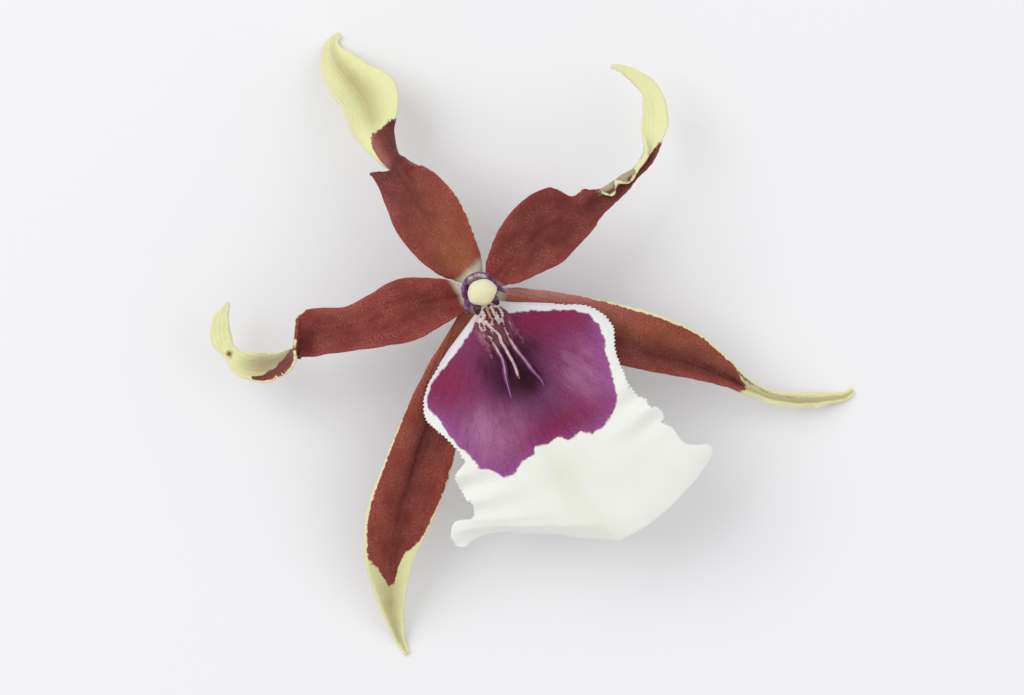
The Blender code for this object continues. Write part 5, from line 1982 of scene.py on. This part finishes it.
    def tint(self, item: bpy.types.Object) -> None:
        """Mark the neck, foot, lobe tips, cup and stigma.

        Args:
            item: The column's skin.
        """
        x, y, z = hub_points(item).T
        centre, radii = self.stigma_centre, self.stigma_radii
        reach = sum(((p - c) / r) ** 2 for p, c, r in zip((x, y, z), centre, radii))
        inside = np.clip((2.8 - np.hypot(x + 0.35, y - 0.15)) / 0.4, 0.0, 1.0)
        turn = np.arctan2(y - 0.15, x + 0.35) - math.radians(76.0)
        marks = {
            "neck": np.clip((7.6 - z) / 1.2, 0.0, 1.0),
            "foot": np.clip((2.7 - z) / 0.8, 0.0, 1.0),
            "tip": np.clip((-y - 2.2) / 0.9, 0.0, 1.0) * (z > 6.8),
            "cup": inside * (z > 8.7) * np.clip((np.cos(turn) - 0.45) / 0.4, 0.0, 1.0),
            "stigma": np.clip((1.15 - np.sqrt(reach)) / 0.12, 0.0, 1.0),
        }
        for mark, values in marks.items():
            mark_points(item, mark, values)

    def shape_cap(self, points: np.ndarray) -> np.ndarray:
        """Give the cap its lean, its beak over the lip and its middle groove.

        Args:
            points: Points in mm.

        Returns:
            The points after it.
        """
        x, y, z = points.T
        low = np.clip((11.0 - z) / 1.6, 0.0, 1.0)
        front = np.maximum(-y, 0.0) / 2.5
        swell = (0.2 + 0.5 * low) * front**3
        groove = 0.10 * np.exp(-((x / 0.35) ** 2)) * np.clip((z - 12.0) / 1.2, 0.0, 1.0)
        narrow = x * (1.0 - 0.22 * front**2)
        turn = np.arctan2(y, x)
        gaps = [(1.0 - np.cos(turn - math.radians(corner))) / 0.05 for corner in self.cap_corners]
        out = 1.0 + sum(0.05 * np.exp(-(gap**2)) for gap in gaps)
        return np.stack([narrow * out - 0.15, 0.87 * y * out - 0.8 * swell - 0.5, z - groove], -1)

    def cap(self) -> bpy.types.Object:
        """Build the anther cap."""
        item = revolve("anther_cap_shell", self.cap_profile, 110, 96, self.shape_cap)
        x, y, z = hub_points(item).T
        mark_points(item, "beak", np.clip((-y - 0.6) / 2.2, 0.0, 1.0) * np.clip((13.2 - z) / 1.5, 0.0, 1.0))
        return item

    def pollen(self) -> bpy.types.Object:
        """Build the two pollen masses on their strap."""
        parts = [Sweep(self.strap.points, self.strap.radii, 20, 16).build("strap")]
        for centre in self.pollen_centres:
            parts.append(self.moulded("pollen_mass", self.pollen_size, centre, Mould.BALL))
        return joined("pollen_masses", parts)

    def build(self) -> None:
        """Build, dress and place the column's pieces."""
        body = self.body()
        self.tint(body)
        place(body, "column", self.finish.material())
        place(self.cap(), "anther_cap", self.cap_finish.material())
        place(self.pollen(), "pollinarium", POLLEN.material())


# Stalk


@dataclass
class Stalk:
    """The ribbed ovary and its stalk."""

    points: tuple[tuple[float, float, float], ...] = (
        (0.0, 0.0, -1.6), (0.0, -0.2, -4.0), (0.0, -1.8, -8.2), (0.1, -5.4, -11.6),
        (0.3, -11.0, -13.6), (0.7, -18.5, -14.4), (1.3, -27.0, -14.8), (1.9, -36.0, -14.9),
    )
    radii: tuple[float, ...] = (2.5, 2.1, 2.0, 1.95, 1.8, 1.6, 1.4, 1.45)
    ribs: int = 6
    rib_depth: float = 0.08
    finish: PlainSkin = STALK_SKIN

    def section(self, share: np.ndarray, angle: np.ndarray) -> np.ndarray:
        """Ribs that fade towards the cut end, on a slightly uneven skin."""
        fade = np.clip(1.15 - share, 0.3, 1.0)
        return 1.0 + self.rib_depth * fade * np.cos(self.ribs * angle + 1.2 * share)

    def build(self) -> None:
        """Build, dress and place the stalk with its specks."""
        item = Sweep(self.points, self.radii, 200, 72, section=self.section).build("pedicel_rod")
        share = point_values(item, "share")
        mark_points(item, "speck", np.clip(1.2 - share, 0.2, 1.0) * (share > 0.03) * (share < 0.97))
        material = self.finish.material()
        strewn = Scatter("speck", per_mm2=2.2, size=0.055, seed=17)
        specks = strewn.build(item, "pedicel_specks", material)
        place(item, "pedicel", material)
        place(specks, "pedicel", material)


# Studio


@dataclass
class Studio:
    """Pale floor, soft lights and the camera over the flower."""

    turn: float = math.radians(-26.0)
    centre: Colour = (0.3, -11.0, 0.0)
    distance: float = 725.0
    lens: float = 150.0
    floor_size: float = 3.0
    floor_colour: Colour = (0.89, 0.89, 0.91)
    sky: float = 0.72

    def floor(self) -> None:
        """Lay the floor with a faint mottle."""
        shape = bmesh.new()
        bmesh.ops.create_grid(shape, x_segments=1, y_segments=1, size=self.floor_size / 2.0)
        item = from_shape("floor", shape)
        s = Shades("floor_paper")
        cloud = s.grain(s.place_mm((0.01, 0.01, 0.01)), 1.0)
        tint = tuple(0.98 * value for value in self.floor_colour)
        s.feed(s.shader.inputs["Base Color"], s.mix(cloud, self.floor_colour, tint))
        s.shader.inputs["Roughness"].default_value = 0.9
        item.data.materials.append(s.material)

    def lamp(self, name: str, spot: Colour, size: float, watts: float) -> None:
        """Hang a square soft light that looks at the flower.

        Args:
            name: Name of the light.
            spot: Its place, in metres.
            size: Side of the square, in metres.
            watts: Its power.
        """
        light = bpy.data.lights.new(name, "AREA")
        light.size = size
        light.energy = watts
        item = linked(name, light)
        item.location = spot
        item.rotation_euler = (-Vector(spot)).to_track_quat("-Z", "Y").to_euler()

    def world(self) -> None:
        """Fill the room with even white light."""
        world = bpy.data.worlds.new("room")
        world.use_nodes = True
        background = world.node_tree.nodes["Background"]
        background.inputs["Color"].default_value = (1.0, 1.0, 1.0, 1.0)
        background.inputs["Strength"].default_value = self.sky
        bpy.context.scene.world = world

    def camera(self) -> None:
        """Set the camera straight over the flower, turned as the photograph is."""
        camera = bpy.data.cameras.new("camera")
        camera.lens = self.lens
        camera.sensor_width = 36.0
        item = linked("camera", camera)
        spot = np.array(self.centre) + HUB + np.array([0.0, 0.0, self.distance])
        item.location = Vector(spot) * MM
        item.rotation_euler = (0.0, 0.0, self.turn)
        bpy.context.scene.camera = item

    def build(self) -> None:
        """Set up the whole studio."""
        self.floor()
        self.world()
        self.lamp("key", spot=(-0.55, 0.75, 0.95), size=0.9, watts=6.2)
        self.lamp("fill", spot=(0.8, -0.3, 0.9), size=1.0, watts=2.0)
        self.camera()
        bpy.context.scene.view_settings.view_transform = "Standard"


def main() -> None:
    """Build the bloom and its studio."""
    logging.basicConfig(level=logging.INFO, format="%(name)s: %(message)s")
    Studio().build()
    Whorl().build()
    Lip().build()
    Column().build()
    Stalk().build()


if __name__ == "__main__":
    main()
